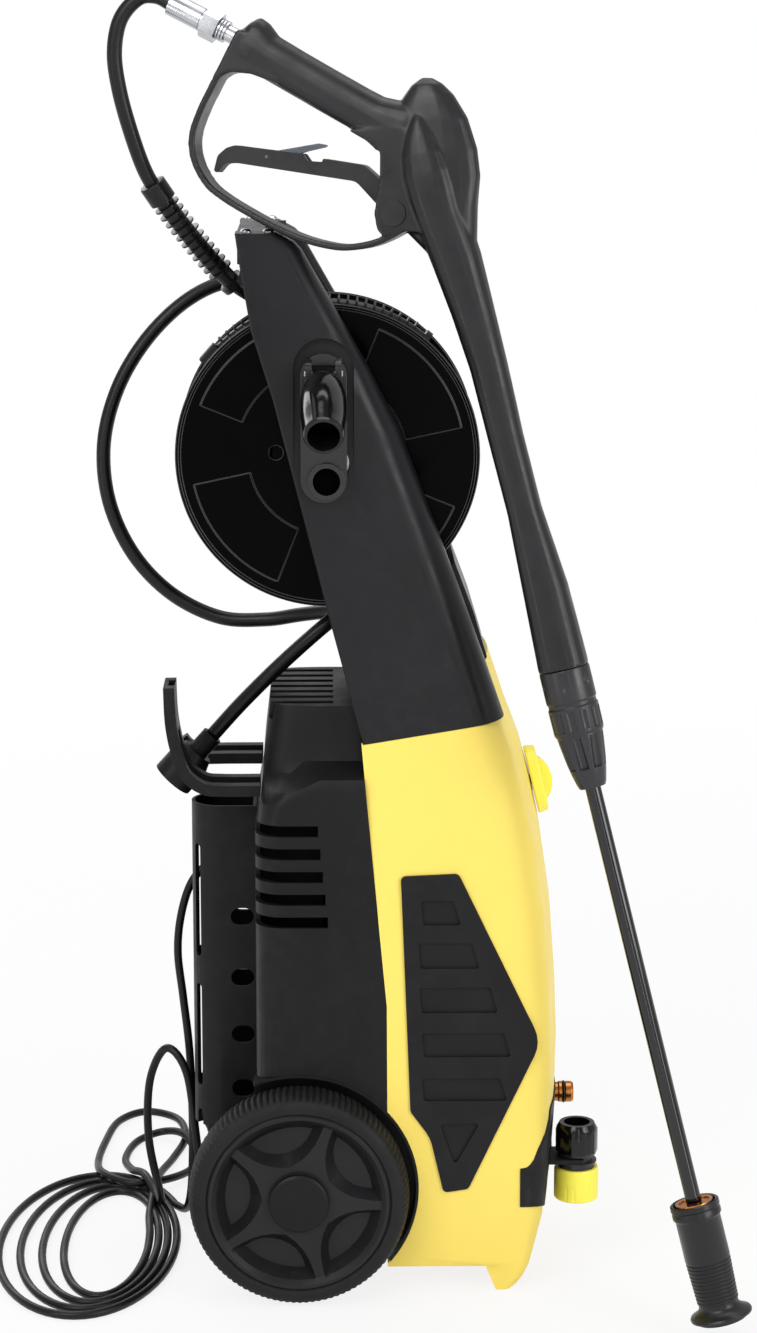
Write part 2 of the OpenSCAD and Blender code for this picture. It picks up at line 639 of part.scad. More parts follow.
// Ribbed water inlet that a garden-hose connector snaps on
module water_inlet() color(brass) facing(inlet_z) difference() {
  rotate_extrude() polygon([[0, drive_x + 58], [9.6, drive_x + 58], [9.6, 213.4], [8, 214], [8, 217], [8.8, 218],
    [8.8, 220.4], [6.9, 220.6], [6.9, 223.4], [8.8, 223.6], [8.8, 228], [7.6, 230], [0, 230]]);
  translate([0, 0, 190]) cylinder(r = 5.6, h = 60);
}
module inlet_seal() color(black) facing(inlet_z) rotate_extrude() translate([8.15, 222]) circle(r = 1.25);

// High-pressure outlet, a threaded socket sunk in the insert
module water_outlet() color(brass) facing(outlet_z) difference() {
  translate([0, 0, drive_x + 48]) cylinder(r = 13, h = 36);
  translate([0, 0, 188]) cylinder(r = 9, h = 60);
}

module motor() color(silver) stand() translate([drive_x, 0, 200]) {
  cylinder(r = 56, h = 150);
  // cooling fins down the casing
  for (a = [0:15:345]) rotate([0, 0, a]) translate([55, -1, 6]) cube([5, 2, 138]);
  translate([0, 0, 150]) cylinder(r1 = 56, r2 = 46, h = 14);
  translate([0, 0, 164]) cylinder(r = 9, h = 10);
}

// Axial pump under the motor, with its two ports facing forward
module pump() color(silver) stand() translate([drive_x, 0, 46]) {
  cylinder(r = 44, h = 110);
  translate([0, 0, 110]) cylinder(r1 = 44, r2 = 56, h = 44);
  translate([30, -12, inlet_z - 58]) cube([28, 24, 24]);
  translate([30, -14, outlet_z - 60]) cube([18, 28, 28]);
}

// Box behind the vents that holds the start capacitor and the terminals
module wiring_box() color(dark) stand() difference() {
  between(-62, 62) polygon([[-29.6, 286], [20, 286], [20, 404], [-24.5, 404], [-29.6, 380]]);
  for (y = [-58, 2]) translate([-20, y, 290]) cube([36, 56, 120]);
  // way in for the cord
  translate([-35, 48, 322]) rotate([0, 90, 0]) cylinder(r = 9.4, h = 20);
}

// ---------------------------------------------------------------- gun

// The gun's plane: x towards the muzzle side, z up, y through its thickness
module in_gun() stand() translate(gun_seat) rotate([0, 0, -gun_yaw]) rotate([-gun_lean, 0, 0]) children();

// Skin along a centre line of [x, z, half width, half thickness] with squarish oval sections
module gun_loft(sections, sides = 20, square = 0.8) {
  path = [for (s = sections) [s[0], s[1]]];
  skin([for (i = [0:len(sections) - 1]) let (h = heading(path, i), s = sections[i])
    [for (k = [0:sides - 1]) let (a = 360 * k / sides,
      u = sign(cos(a)) * pow(abs(cos(a)), square) * s[2], v = sign(sin(a)) * pow(abs(sin(a)), square) * s[3])
      [s[0] - h.y * u, -v, s[1] + h.x * u]]]);
}

// Grip, with a horn above its back end and a flare into the body
grip_line = [[-45, 147, 8, 9], [-42, 145, 16, 12], [-38, 143, 21.5, 13.5], [-32, 139.5, 21, 14],
             [-22, 133, 17, 14], [0.8, 120.4, 16.7, 14], [27, 106.2, 16.7, 14.5], [50, 93.9, 16.7, 14.5],
             [62, 87, 17.6, 14.5], [72, 82, 20.5, 14.5], [84, 76, 26, 14.5], [100, 66, 20, 13]];
// Flat body that the grip joins, and the barrel whose upper end lies on it like a drop
body_line = [[103, 117, 4, 4], [103, 112, 12, 9], [104, 103, 20, 11.5], [105, 86, 30, 13.5],
             [106, 62, 37, 14.5], [108, 36, 38.5, 15], [117, 10, 29, 15], [128, -15, 17, 14]];
barrel_line = [[98, 91, 1, 12], [99, 85, 7, 16], [100, 74, 13.5, 18.5], [102, 60, 18.5, 20.5],
               [105.5, 45, 21, 21.5], [110, 30, 21, 21.5], [115, 14, 20, 21], [121.5, -2, 19.5, 20],
               [128.5, -20, 19, 18.5], [141, -57, 16.5, 16.5], [154.5, -100, 14.5, 15],
               [169, -155, 13.6, 14], [184.5, -210, 13.4, 14], [202, -270, 17.6, 17.6],
               [217.5, -331, 19.6, 19.6]];
guard_path = [[-60, 116], [-73, 91], [-79.5, 71], [-77.5, 53], [-68, 36], [-56, 26], [-38, 15.5],
              [-14, 3.5], [11, -6.3], [35, -11.3], [51, -10.8], [69, -6.5], [88, 3], [100, 12]];

module gun_casing() difference() {
  union() {
    gun_loft(grip_line);
    gun_loft(body_line);
    gun_loft(barrel_line);
    // strap of the trigger guard
    across(25) polygon(strap(smooth(guard_path, 3), 5));
    // flat cheeks at the back of the grip and round the trigger's pivot
    across(26) polygon(rounded([[-43, 154, 4], [-66, 110, 2], [-50, 120.5, 12], [-33, 119, 6],
                                [-10, 111], [-20, 140]]));
    across(29) polygon(rounded([[84, 80], [48, 78], [46, 76.4], [70, 63.4, 9], [70, 40, 20],
                                [66, 14, 10], [70, -5, 8], [88, 2, 6], [105, 0], [110, 70]]));
  }
  // room for the trigger's root, and its pin
  across(15.6) polygon(rounded([[60, 62], [60, 26], [69, 1.5, 12], [93, 1.5, 12], [94, 30, 10], [84, 62]]));
  translate([pivot.x, 0, pivot.y]) {
    crosswise(3.05, -30, 30);
    crosswise(10.2, -40, -15);
    crosswise(10.2, 15, 40);
  }
  // bore for the inlet
  gun_inlet_line(-26) cylinder(r = 6.6, h = 40);
}

module gun_right_half() color(dark) in_gun() intersection() {
  gun_casing();
  translate([-150, -60, -400]) cube([500, 60, 640]);
}
module gun_left_half() color(dark) in_gun() intersection() {
  gun_casing();
  translate([-150, 0, -400]) cube([500, 60, 640]);
}

// The hose end's line: z runs out of the back of the grip towards the hose
module gun_inlet_line(from) translate([-52, 0, 149]) rotate([0, -64, 0]) translate([0, 0, from]) children();

// Threaded inlet, hexagon nut and crimped ferrule
module gun_inlet() color(silver) in_gun() gun_inlet_line(0) {
  translate([0, 0, -25]) cylinder(r = 6.5, h = 36);
  for (i = [0:2]) translate([0, 0, 3 + i * 2.6]) cylinder(r = 8.6, h = 1.5);
  translate([0, 0, 10]) cylinder(r = 12.4, h = 13, $fn = 6);
  translate([0, 0, 23]) cylinder(r = 8.2, h = 3);
  translate([0, 0, 25]) cylinder(r = 9, h = 28);
}

function trigger_outline() = rounded([[-63, 45, 2], [-60, 57, 6], [-53, 63, 6], [-46, 65, 6],
  [-25, 62.5, 6], [8, 59, 2], [12, 53.5, 1], [23, 53, 1], [24, 55.5, 1], [56, 51, 8], [75, 35, 6],
  [90, 16, 7], [86, 7, 6], [76, 8, 7], [68, 20, 6], [50, 38.5, 10], [21, 42.5, 10], [-45, 51.5, 8],
  [-54, 51, 6], [-60, 44, 1.5]]);

module trigger() color(dark) in_gun() difference() {
  across(14) polygon(trigger_outline());
  translate([pivot.x, 0, pivot.y]) crosswise(3 + running, -20, 20);
  // fork that the latch lies in
  across(5.6) polygon([[-30, 47.5], [12.4, 45], [12.4, 80], [-30, 80]]);
  translate([latch_pivot.x, 0, latch_pivot.y]) crosswise(1.5, -20, 20);
}

module trigger_pin() color(dark) in_gun() translate([pivot.x, 0, pivot.y]) {
  crosswise(3, -15, 15);
  for (s = [-1, 1]) translate([0, s * 15.6, 0]) crosswise(10, -0.6, 0.6);
}

module trigger_latch() color(silver) in_gun() {
  between(-2.4, 2.4) polygon(rounded([[-25, 54, 2.5], [-19, 52, 2.5], [11, 61, 3], [24, 64, 1],
                                      [27, 65.6, 0.8], [19, 67, 2], [-21, 60, 3]]));
  translate([latch_pivot.x, 0, latch_pivot.y]) crosswise(1.46, -7, 7);
}

// ---------------------------------------------------------------- lance

// The lance's line: z runs from the muzzle down to the nozzle
module in_lance() in_gun() translate([lance_foot.x, 0, lance_foot.y])
  rotate([0, 180 - lance_lean, 0]) children();

// Bayonet collar with sunk finger grips
module lance_collar() color(dark) in_lance() difference() {
  rotate_extrude() polygon([[0, 0.4], [19.4, 0.4], [19.8, 2], [19.8, 25], [18.9, 26.5], [18.9, 29],
                            [19.8, 30.5], [19.6, 50], [18.8, 52], [0, 52]]);
  for (a = [0:60:300]) rotate([0, 0, a + 30]) translate([24.6, 0, 13])
    rotate_extrude($fn = 32) polygon([[0, -10], [4, -8], [6, 0], [4, 8], [0, 10]]);
  for (a = [0:30:330]) rotate([0, 0, a]) translate([22.4, 0, 33]) cylinder(r = 4, h = 15, $fn = 24);
}

module lance_nut() color(dark) in_lance() difference() {
  rotate_extrude() polygon([[6.4, 52], [18.2, 52], [17.4, 60], [15.5, 74], [13.6, 84], [11.6, 92],
                            [10.4, 95], [6.4, 95]]);
  for (a = [0:45:315]) rotate([0, 0, a]) translate([20, 0, 54]) rotate([0, -10, 0])
    cylinder(r = 4, h = 26, $fn = 24);
}

module lance_tube() color(black) in_lance() difference() {
  translate([0, 0, 52]) cylinder(d = tube_d, h = 396);
  translate([0, 0, 60]) cylinder(d = tube_d - 3, h = 400);
}

// Nozzle head that twists, with long ribs above, rings below and a flared end
module nozzle_grip() color(black) in_lance() {
  rotate_extrude() polygon([[tube_d / 2 + running, 430], [11, 430], [13, 436], [19, 437.5],
    [19.6, 440], [19, 443], [15.6, 444], [16.4, 476], [17.6, 512], [19, 520], [24.4, 524],
    [24.8, 527], [23.6, 530], [15, 530.5], [13, 524], [13, 449.4], [tube_d / 2 + running, 449.4]]);
  for (a = [0:45:315]) rotate([0, 0, a]) translate([14, -2.6, 446]) cube([5, 5.2, 34]);
  for (z = [484:6:514]) translate([0, 0, z]) rotate_extrude()
    translate([16.8 + (z - 484) / 30, 0]) circle(r = 2, $fn = 24);
}

module nozzle_jet() color(brass) in_lance() difference() {
  rotate_extrude() polygon([[0, 449.6], [12.9, 449.6], [12.9, 462], [7, 466], [5, 478], [0, 478]]);
  translate([0, 0, 440]) cylinder(r = 1.4, h = 60);
}

// ---------------------------------------------------------------- quick connector

module in_connector() stand() translate(connector_at) children();

module connector_collar() color(yellow) in_connector() difference() {
  rotate_extrude() polygon([[15, 0], [17.6, 0], [18.3, 1], [18.3, 24.6], [17.4, 27], [15, 27]]);
  // small grips pressed in round the lower edge
  for (a = [0:60:300]) rotate([0, 0, a + 10]) {
    for (s = [-1, 1]) translate([20.6, s * 3.6, -1]) cylinder(r = 3, h = 13, $fn = 24);
  }
}

module connector_body() color(black) in_connector() rotate_extrude() polygon([
  [9, 1], [14.95, 1], [14.95, 31.2], [16.6, 31.4], [16.6, 33], [13, 33.4], [13, 37.6], [15.8, 38],
  [16.6, 40.6], [9, 40.6]]);

module connector_nut() color(dark) in_connector() difference() {
  union() {
    translate([0, 0, 40.7]) cylinder(r = 17.4, h = 19, $fn = 10);
    translate([0, 0, 40.7]) cylinder(r = 16.8, h = 20);
    translate([0, 0, 60.7]) cylinder(r1 = 16.8, r2 = 14.4, h = 4.3);
  }
  translate([0, 0, 40]) cylinder(r = 10.8, h = 30);
}

// ---------------------------------------------------------------- hoses and cord

gun_hose_route = [[46, 15, 789], [24, 15, 791], [-4, 12, 793], [-28, 6, 799], [-48, -2, 811],
                  [-66, -10, 830], [-86, -18, 855], [-104, -26, 880], [-117, -32, 902],
                  [-128, -37, 934], [-136, -41, 966], [-139, -43, 994], [-134, -44, 1019],
                  [-120, -44, 1035], [-106, -45, 1036.6], [-94.8, -48, 1031.2]];
supply_route = [[16, 116, 704.6], [9, 116, 724], [1, 117, 752], [-9, 118, 780], [-28, 118, 800],
                [-60, 116, 803], [-94, 112, 787], [-126, 107, 756], [-150, 102, 716], [-162, 97, 670],
                [-158, 92, 622], [-138, 87, 578], [-106, 82, 545], [-66, 77, 526], [-28, 71, 525],
                [2, 61, 531], [26, 44, 537], [40, 22, 542], [41, 0, 544], [30, -13, 542],
                [10, -16, 526], [-18, -10, 499], [-46, -4, 469.7], [-70, -4, 443]];

module gun_hose() color(black) stand() tube(smooth(gun_hose_route, 2), hose_d, 10);
module supply_hose() color(black) stand() tube(smooth(supply_route, 2), hose_d, 10);

// Ribbed guard on the gun hose where it leaves the reel, with a rib at every other ring
module hose_bend_guard() color(black) stand() {
  steps = 8;
  full = smooth(gun_hose_route, steps);
  path = [for (i = [4 * steps:8 * steps]) full[i]];
  frames = carried(path);
  difference() {
    skin([for (i = [0:len(path) - 1])
      tube_ring(path[i], heading(path, i), frames[i], i % 2 == 0 ? 11 : 8.2, 10)]);
    tube([for (i = [4 * steps - 3:8 * steps + 3]) full[i]], hose_d + 1.2, 10);
  }
}

// Hand nut on the loose end of the supply hose
module supply_nut() color(dark) stand() translate([-70, -4, 443]) rotate([0, -138, 0]) {
  cylinder(r = 8.6, h = 20);
  translate([0, 0, 18]) cylinder(r1 = 13, r2 = 17, h = 10);
  translate([0, 0, 28]) difference() {
    cylinder(r = 17.4, h = 22);
    translate([0, 0, 4]) cylinder(r = 11, h = 30);
  }
}

// From the gland down behind the holder to the floor
cord_lead = [[-60, 48, 322], [-76, 48, 320], [-91, 46, 304], [-100, 44, 276], [-103, 42, 244],
             [-99, 40, 206], [-94, 36, 160], [-92, 31, 110], [-92, 28, 70], [-94, 32, 34],
             [-97, 48, 11], [-100, 76, 4]];
// From the middle of the loops over them, round once and a half behind, up into a bight that leans
// on the holder, and under the body to the coil
cord_rest = [[-129.6, -93, 4], [-130, -50, 4], [-131, 0, 4], [-131, 50, 5], [-130, 84, 9.6],
             [-129, 112, 11.6], [-125, 150, 8], [-116, 198, 4], [-108, 250, 4], [-118, 300, 4],
             [-148, 320, 4], [-172, 294, 4], [-181, 240, 4], [-184, 182, 5], [-176, 138, 11],
             [-150, 112, 11.6], [-120, 124, 10], [-99, 164, 5], [-98, 208, 6], [-110, 238, 11.4],
             [-130, 256, 7], [-152, 238, 4], [-160, 194, 4], [-152, 150, 10], [-138, 113, 18.8],
             [-124, 74, 12.5], [-121, 46, 26], [-130, 42, 78], [-128, 38, 132], [-113, 27, 164],
             [-96, 17, 146], [-88, 9, 92], [-84, 14, 46], [-76, 36, 16], [-67, 70, 5], [-62, 112, 4],
             [-61, 150, 4], [-57, 184, 4], [-43.4, 203.4, 5]];
cord_tube_d = 1.03 * cord_d;        // across the corners of its eight-sided stretches
loose_turns = 4;                    // turns of the flat loops on the floor
loops_right = -100;                 // x of the outermost turn on its right
loops_left = -251;                  // and on its left
loops_back = 74;                    // y of the centre of the bends at the back
loops_front = -91;                  // and at the front
lap_right = 7.4;                    // how far each turn lies inside the one before, on the right
lap_left = 18.3;                    // and on the left
coil_at = [6, 214];                 // middle of the coil behind the body
coil_r = 6 * cord_d;                // mean radius of its turns

// Half a turn of cord from x = a round to x = b, about y = c on the floor, ahead of c or behind it
module half_turn(a, b, c, ahead) translate([(a + b) / 2, c, 4]) rotate([0, 0, ahead ? 0 : 180])
  rotate_extrude(angle = 180) translate([abs(a - b) / 2, 0]) circle(d = cord_d, $fn = 24);

// Loops that lie inside each other on the floor
module loose_loops() for (i = [0:loose_turns - 1]) {
  right = loops_right - i * lap_right;
  left = loops_left + i * lap_left;
  half_turn(right, left, loops_back, true);
  half_turn(left, right - lap_right, loops_front, false);
  for (x = i < loose_turns - 1 ? [left, right - lap_right] : [left])
    translate([x, 0, 4]) crosswise(cord_d / 2, loops_front, loops_back);
}

module power_cord() color(black) stand() {
  tube(smooth(cord_lead, 2), cord_tube_d, 8);
  loose_loops();
  tube(smooth(cord_rest, 2), cord_tube_d, 8);
}

module cord_gland() color(black) stand() translate([-30, 48, 322]) rotate([0, -90, 0])
  rotate_extrude() polygon([[0, -4], [9, -4], [9, -0.2], [6.95, -0.2], [6.95, 4.1], [9, 4.2], [9, 8],
                            [6, 10], [4.2, 30], [0, 30]]);

// The rest of the cord, wound up
module cord_coil() color(black) stand() translate(coil_at) rotate_extrude() polygon(rounded([
  [coil_r - cord_d, 0, 3], [coil_r + cord_d, 0, 3], [coil_r + cord_d, 2 * cord_d, 3],
  [coil_r - cord_d, 2 * cord_d, 3]]));

// Round mains plug with two pins, lying beside the coil
module plug() color(black) stand() translate([coil_at.x + coil_r + cord_d, coil_at.y, 19.2])
  rotate([0, 90, 0]) {
    rotate_extrude() polygon(concat([[0, 0], [4.6, 0], [6.5, 22], [11, 28]],
      smooth([[15, 32], [18.4, 42], [19, 52]], 3), [[19, 60], [17, 62], [0, 62]]));
    for (s = [-1, 1]) translate([0, s * 9.5, 62]) cylinder(r = 2.4, h = 19);
  }

front_shell();
rear_shell();
side_panels();
front_insert();
right_arm();
left_arm();
top_crossbar();
arm_bridge();
chassis();
arch_liners();
axle();
right_wheel();
left_wheel();
right_tyre();
left_tyre();
right_hub_cap();
left_hub_cap();
right_reel_flange();
left_reel_flange();
reel_drum();
hose_winding();
winding_bend_guard();
reel_bearings();
hose_swivel();
crank_arm();
crank_grip();
crank_pin();
lance_holder();
right_cord_hook();
left_cord_hook();
switch_knob();
rotary_switch();
water_inlet();
inlet_seal();
water_outlet();
motor();
pump();
wiring_box();
gun_right_half();
gun_left_half();
gun_inlet();
trigger();
trigger_pin();
trigger_latch();
lance_collar();
lance_nut();
lance_tube();
nozzle_grip();
nozzle_jet();
connector_nut();
connector_body();
connector_collar();
gun_hose();
hose_bend_guard();
supply_hose();
supply_nut();
cord_gland();
power_cord();
cord_coil();
plug();
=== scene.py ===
"""Dresses the pressure washer's solids for a studio picture.

Every sub-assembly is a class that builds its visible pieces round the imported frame. Lengths are in
metres in the frame's own axes unless a name ends in _mm.
"""

import json
import logging
import math
from dataclasses import dataclass, field
from enum import Enum
from functools import cached_property

import bmesh
import bpy
from mathutils import Matrix, Vector, noise


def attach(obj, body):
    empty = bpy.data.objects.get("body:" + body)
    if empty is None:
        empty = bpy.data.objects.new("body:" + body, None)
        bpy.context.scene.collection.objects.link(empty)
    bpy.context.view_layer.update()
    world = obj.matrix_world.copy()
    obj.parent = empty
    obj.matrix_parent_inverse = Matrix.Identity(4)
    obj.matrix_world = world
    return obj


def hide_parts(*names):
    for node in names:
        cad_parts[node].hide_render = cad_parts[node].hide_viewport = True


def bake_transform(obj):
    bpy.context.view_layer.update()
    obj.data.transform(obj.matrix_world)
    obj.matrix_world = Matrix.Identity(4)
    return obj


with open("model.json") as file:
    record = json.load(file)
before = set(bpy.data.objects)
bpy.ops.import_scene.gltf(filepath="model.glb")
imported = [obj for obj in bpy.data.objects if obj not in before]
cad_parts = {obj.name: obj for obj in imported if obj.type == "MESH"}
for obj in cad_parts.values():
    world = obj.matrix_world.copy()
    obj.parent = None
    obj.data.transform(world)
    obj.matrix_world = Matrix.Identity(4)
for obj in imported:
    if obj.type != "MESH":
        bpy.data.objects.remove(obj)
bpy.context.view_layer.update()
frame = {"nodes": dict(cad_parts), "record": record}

LOG = logging.getLogger("washer")
MM = 0.001
STAND = Vector((-0.168, 0.0, 0.0))      # from the point under the wheel axle to the front foot
WHEEL_RADIUS = 0.090
REEL_CENTRE = Vector((-0.143, 0.0, 0.680))
SAME_SPOT = 2e-6                        # corners closer than this are one
MERGE_DEG = 0.6                         # facets closer than this in direction become one
FINE_SIDES = 96                         # corners round a finely turned piece
ROUNDED_DEG = 30.0                      # edges that turn more than this are rounded
SKIN_DEPTH = 0.0004                     # faces deeper than this are inside a hole
MOTTLE_CELLS, SMUDGE_CELLS, WEAR_CELLS, DUST_CELLS = 14.0, 32.0, 90.0, 260.0   # per metre
EDGE_POINTINESS = (0.53, 0.60)          # where wear starts and where it is full
DUSTY_SLOPE = 0.3                       # dust lies on faces that look up more than this
MIRROR_LIMIT = 0.04                     # the lowest roughness

Colour = tuple[float, float, float]
Socket = bpy.types.NodeSocket
Piece = bpy.types.Object
BODY_OF = {node: body for body, nodes in frame["record"]["behaviour"]["bodies"].items() for node in nodes}


def screen(red: int, green: int, blue: int) -> Colour:
    """Turns a colour given as display values from 0 to 255 into linear light.

    Args:
        red: Red, from 0 to 255.
        green: Green, from 0 to 255.
        blue: Blue, from 0 to 255.

    Returns:
        The linear colour.
    """
    return tuple((v / 255 / 12.92) if v < 11 else ((v / 255 + 0.055) / 1.055) ** 2.4
                 for v in (red, green, blue))


class Edge(Enum):
    """How far an edge is rounded, in millimetres."""

    CRISP = 0.25
    MOULDED = 0.6
    SOFT = 1.2


# ---- finishes

class Graph:
    """A node tree, with short ways to add and join nodes."""

    def __init__(self, owner: bpy.types.Material | bpy.types.World, output: str) -> None:
        """Empties a node tree down to its output.

        Args:
            owner: The material or the world that holds the tree.
            output: The type of the output node, without its ShaderNode prefix.
        """
        owner.use_nodes = True
        self.tree = owner.node_tree
        self.tree.nodes.clear()
        self.output = self.add(output)

    @cached_property
    def place(self) -> Socket:
        """The object's own coordinates."""
        return self.add("TexCoord").outputs["Object"]

    def add(self, kind: str, **settings: object) -> bpy.types.Node:
        """Adds a node.

        Args:
            kind: The node's type, without its ShaderNode prefix.
            **settings: Properties of the node, or what its inputs get, by name.

        Returns:
            The new node.
        """
        node = self.tree.nodes.new("ShaderNode" + kind)
        for key, value in settings.items():
            if hasattr(node, key):
                setattr(node, key, value)
            else:
                self.join(value, node.inputs[key.replace("_", " ")])
        return node

    def join(self, source: object, target: Socket) -> None:
        """Links another socket to a socket, or gives it a fixed value."""
        if isinstance(source, Socket):
            self.tree.links.new(source, target)
        else:
            target.default_value = source

    def show(self, shader: bpy.types.Node) -> None:
        """Ends the tree in a shader."""
        self.join(shader.outputs[0], self.output.inputs["Surface"])

    def noise(self, scale: float, detail: float = 3.0, rough: float = 0.55) -> Socket:
        """Adds a noise texture.

        Args:
            scale: Cells per metre.
            detail: Octaves.
            rough: Strength of the finer octaves.

        Returns:
            Its value, from 0 to 1.
        """
        return self.add("TexNoise", Vector=self.place, Scale=scale, Detail=detail,
                        Roughness=rough).outputs["Fac"]

    def ramp(self, value: Socket, low: float, high: float, out_low: float = 0.0,
             out_high: float = 1.0) -> Socket:
        """Maps a value from one range to another and clamps it.

        Args:
            value: The socket to map.
            low: Start of the range it has.
            high: End of the range it has.
            out_low: Start of the range it gets.
            out_high: End of the range it gets.

        Returns:
            The mapped value.
        """
        return self.add("MapRange", Value=value, From_Min=low, From_Max=high, To_Min=out_low,
                        To_Max=out_high).outputs["Result"]

    def mix(self, amount: Socket, first: object, second: object) -> Socket:
        """Blends two colours.

        Args:
            amount: Share of the second colour.
            first: A colour or a socket.
            second: A colour or a socket.

        Returns:
            The blended colour.
        """
        node = self.add("Mix", data_type="RGBA", Factor=amount)
        for key, value in (("A", first), ("B", second)):
            socket = next(s for s in node.inputs if s.name == key and s.type == "RGBA")
            self.join(value if isinstance(value, Socket) else (*value, 1.0), socket)
        return next(s for s in node.outputs if s.type == "RGBA")

    def math(self, operation: str, first: object, second: object) -> Socket:
        """Adds a sum, product or other function of two values.

        Args:
            operation: The Math node's operation.
            first: A number or a socket.
            second: A number or a socket.

        Returns:
            The result.
        """
        node = self.add("Math", operation=operation)
        self.join(first, node.inputs[0])
        self.join(second, node.inputs[1])
        return node.outputs[0]

    def seen(self, mirrored: float) -> Socket:
        """Tells where a background shows as itself: to the camera, in mirrors and through glass.

        Args:
            mirrored: Share of it that mirrors show.

        Returns:
            1 where it shows, 0 for the light that it throws.
        """
        rays = self.add("LightPath").outputs
        mirror = self.math("MULTIPLY", rays["Is Glossy Ray"], mirrored)
        straight = self.math("MAXIMUM", rays["Is Camera Ray"], mirror)
        return self.math("MAXIMUM", straight, rays["Is Transmission Ray"])


@dataclass(frozen=True)
class Finish:
    """A surface with a wandering colour, fine grain, handling marks and a little dust.

    Attributes:
        name: The material's name.
        colour: Its colour in linear light.
        rough: Its roughness.
        mottle: How far the colour wanders, as a share of itself.
        grain_mm: Size of the surface grain.
        grain_depth_mm: Depth of the grain.
        marks: Strength of smudges in the gloss.
        dust: Strength of pale dust on faces that look up.
        worn: Strength of pale wear along edges.
        metallic: 1 for bare metal.
        specular: Strength of the reflection.
    """

    name: str
    colour: Colour
    rough: float
    mottle: float = 0.16
    grain_mm: float = 0.5
    grain_depth_mm: float = 0.02
    marks: float = 0.10
    dust: float = 0.0
    worn: float = 0.0
    metallic: float = 0.0
    specular: float = 0.5

    def material(self) -> bpy.types.Material:
        """Builds the material, or finds it if it is already there."""
        name = f"{self.name}_finish"
        found = bpy.data.materials.get(name)
        if found:
            return found
        material = bpy.data.materials.new(name)
        graph = Graph(material, "OutputMaterial")
        graph.show(graph.add("BsdfPrincipled", Metallic=self.metallic, Specular_IOR_Level=self.specular,
                             Base_Color=self.tint(graph), Roughness=self.gloss(graph),
                             Normal=self.relief(graph)))
        return material

    def tint(self, graph: Graph) -> Socket:
        """Builds the colour: broad mottling, then edge wear, then dust.

        Args:
            graph: The material's nodes.

        Returns:
            The colour.
        """
        deep = tuple(v * (1 - self.mottle) for v in self.colour)
        light = tuple(min(1.0, v * (1 + self.mottle)) for v in self.colour)
        colour = graph.mix(graph.ramp(graph.noise(MOTTLE_CELLS, 4), 0.34, 0.66), deep, light)
        pale = tuple(0.25 + 0.75 * v for v in self.colour)
        if self.worn:
            point = graph.add("NewGeometry").outputs["Pointiness"]
            edge = graph.ramp(point, *EDGE_POINTINESS, 0.0, self.worn)
            patchy = graph.math("MULTIPLY", edge, graph.ramp(graph.noise(WEAR_CELLS), 0.42, 0.62))
            colour = graph.mix(patchy, colour, pale)
        if self.dust:
            up = graph.add("SeparateXYZ", Vector=graph.add("NewGeometry").outputs["Normal"])
            settled = graph.ramp(up.outputs["Z"], DUSTY_SLOPE, 1.0, 0.0, self.dust)
            specks = graph.ramp(graph.noise(DUST_CELLS, 5, 0.7), 0.45, 0.75)
            colour = graph.mix(graph.math("MULTIPLY", settled, specks), colour, pale)
        return colour

    def gloss(self, graph: Graph) -> Socket:
        """Builds the roughness, with smudges from handling.

        Args:
            graph: The material's nodes.

        Returns:
            The roughness.
        """
        return graph.ramp(graph.noise(SMUDGE_CELLS, 5, 0.62), 0.3, 0.7,
                          max(MIRROR_LIMIT, self.rough - self.marks), min(1.0, self.rough + self.marks))

    def relief(self, graph: Graph) -> Socket:
        """Builds the bump of the moulded or machined grain.

        Args:
            graph: The material's nodes.

        Returns:
            The normal.
        """
        return graph.add("Bump", Strength=0.6, Distance=self.grain_depth_mm * MM,
                         Height=graph.noise(1 / (self.grain_mm * MM), 2)).outputs["Normal"]


YELLOW = Finish("yellow_plastic", screen(251, 225, 110), 0.42, mottle=0.02, grain_mm=0.7, worn=0.02,
                specular=0.14)
FITTING_YELLOW = Finish("fitting_yellow", screen(255, 244, 92), 0.30, mottle=0.02, grain_mm=0.7,
                        grain_depth_mm=0.01, worn=0.02, specular=0.25)
ARM_BLACK = Finish("arm_plastic", screen(23, 23, 26), 0.36, dust=0.03, worn=0.05, specular=0.26)
REAR_BLACK = Finish("rear_plastic", screen(17, 17, 18), 0.46, dust=0.02, worn=0.04, grain_mm=0.8,
                    grain_depth_mm=0.03, specular=0.22)
PANEL_BLACK = Finish("panel_plastic", screen(24, 24, 26), 0.55, dust=0.05, worn=0.04, grain_mm=0.8,
                     grain_depth_mm=0.03, specular=0.22)
REEL_BLACK = Finish("reel_plastic", screen(3, 3, 4), 0.24, marks=0.04, specular=0.04)
# Painted highlight: this lighter finish on the flanges' rounded edges stands in for the thin lines of light
# that those edges catch.
REEL_HIGHLIGHT_EDGE = Finish("reel_edge_painted_highlight", screen(58, 58, 60), 0.40, specular=0.30)
CRANK_BLACK = Finish("crank_plastic", screen(28, 28, 30), 0.26, dust=0.02, worn=0.08)
WHEEL_BLACK = Finish("wheel_plastic", screen(27, 27, 29), 0.40, dust=0.03, worn=0.05, specular=0.28)
TYRE_BLACK = Finish("tyre_rubber", screen(26, 26, 28), 0.62, grain_mm=1.1, grain_depth_mm=0.05, dust=0.06,
                    worn=0.06, specular=0.24)
GUN_BLACK = Finish("gun_plastic", screen(22, 22, 25), 0.36, grain_mm=0.6, dust=0.02, worn=0.03, specular=0.42)
GLOSS_BLACK = Finish("gloss_plastic", screen(8, 8, 9), 0.12, marks=0.04, grain_depth_mm=0.006, dust=0.05,
                     specular=0.40)
HOSE_RUBBER = Finish("hose_rubber", screen(15, 15, 16), 0.34, grain_mm=1.4, grain_depth_mm=0.04, dust=0.02,
                     specular=0.30)
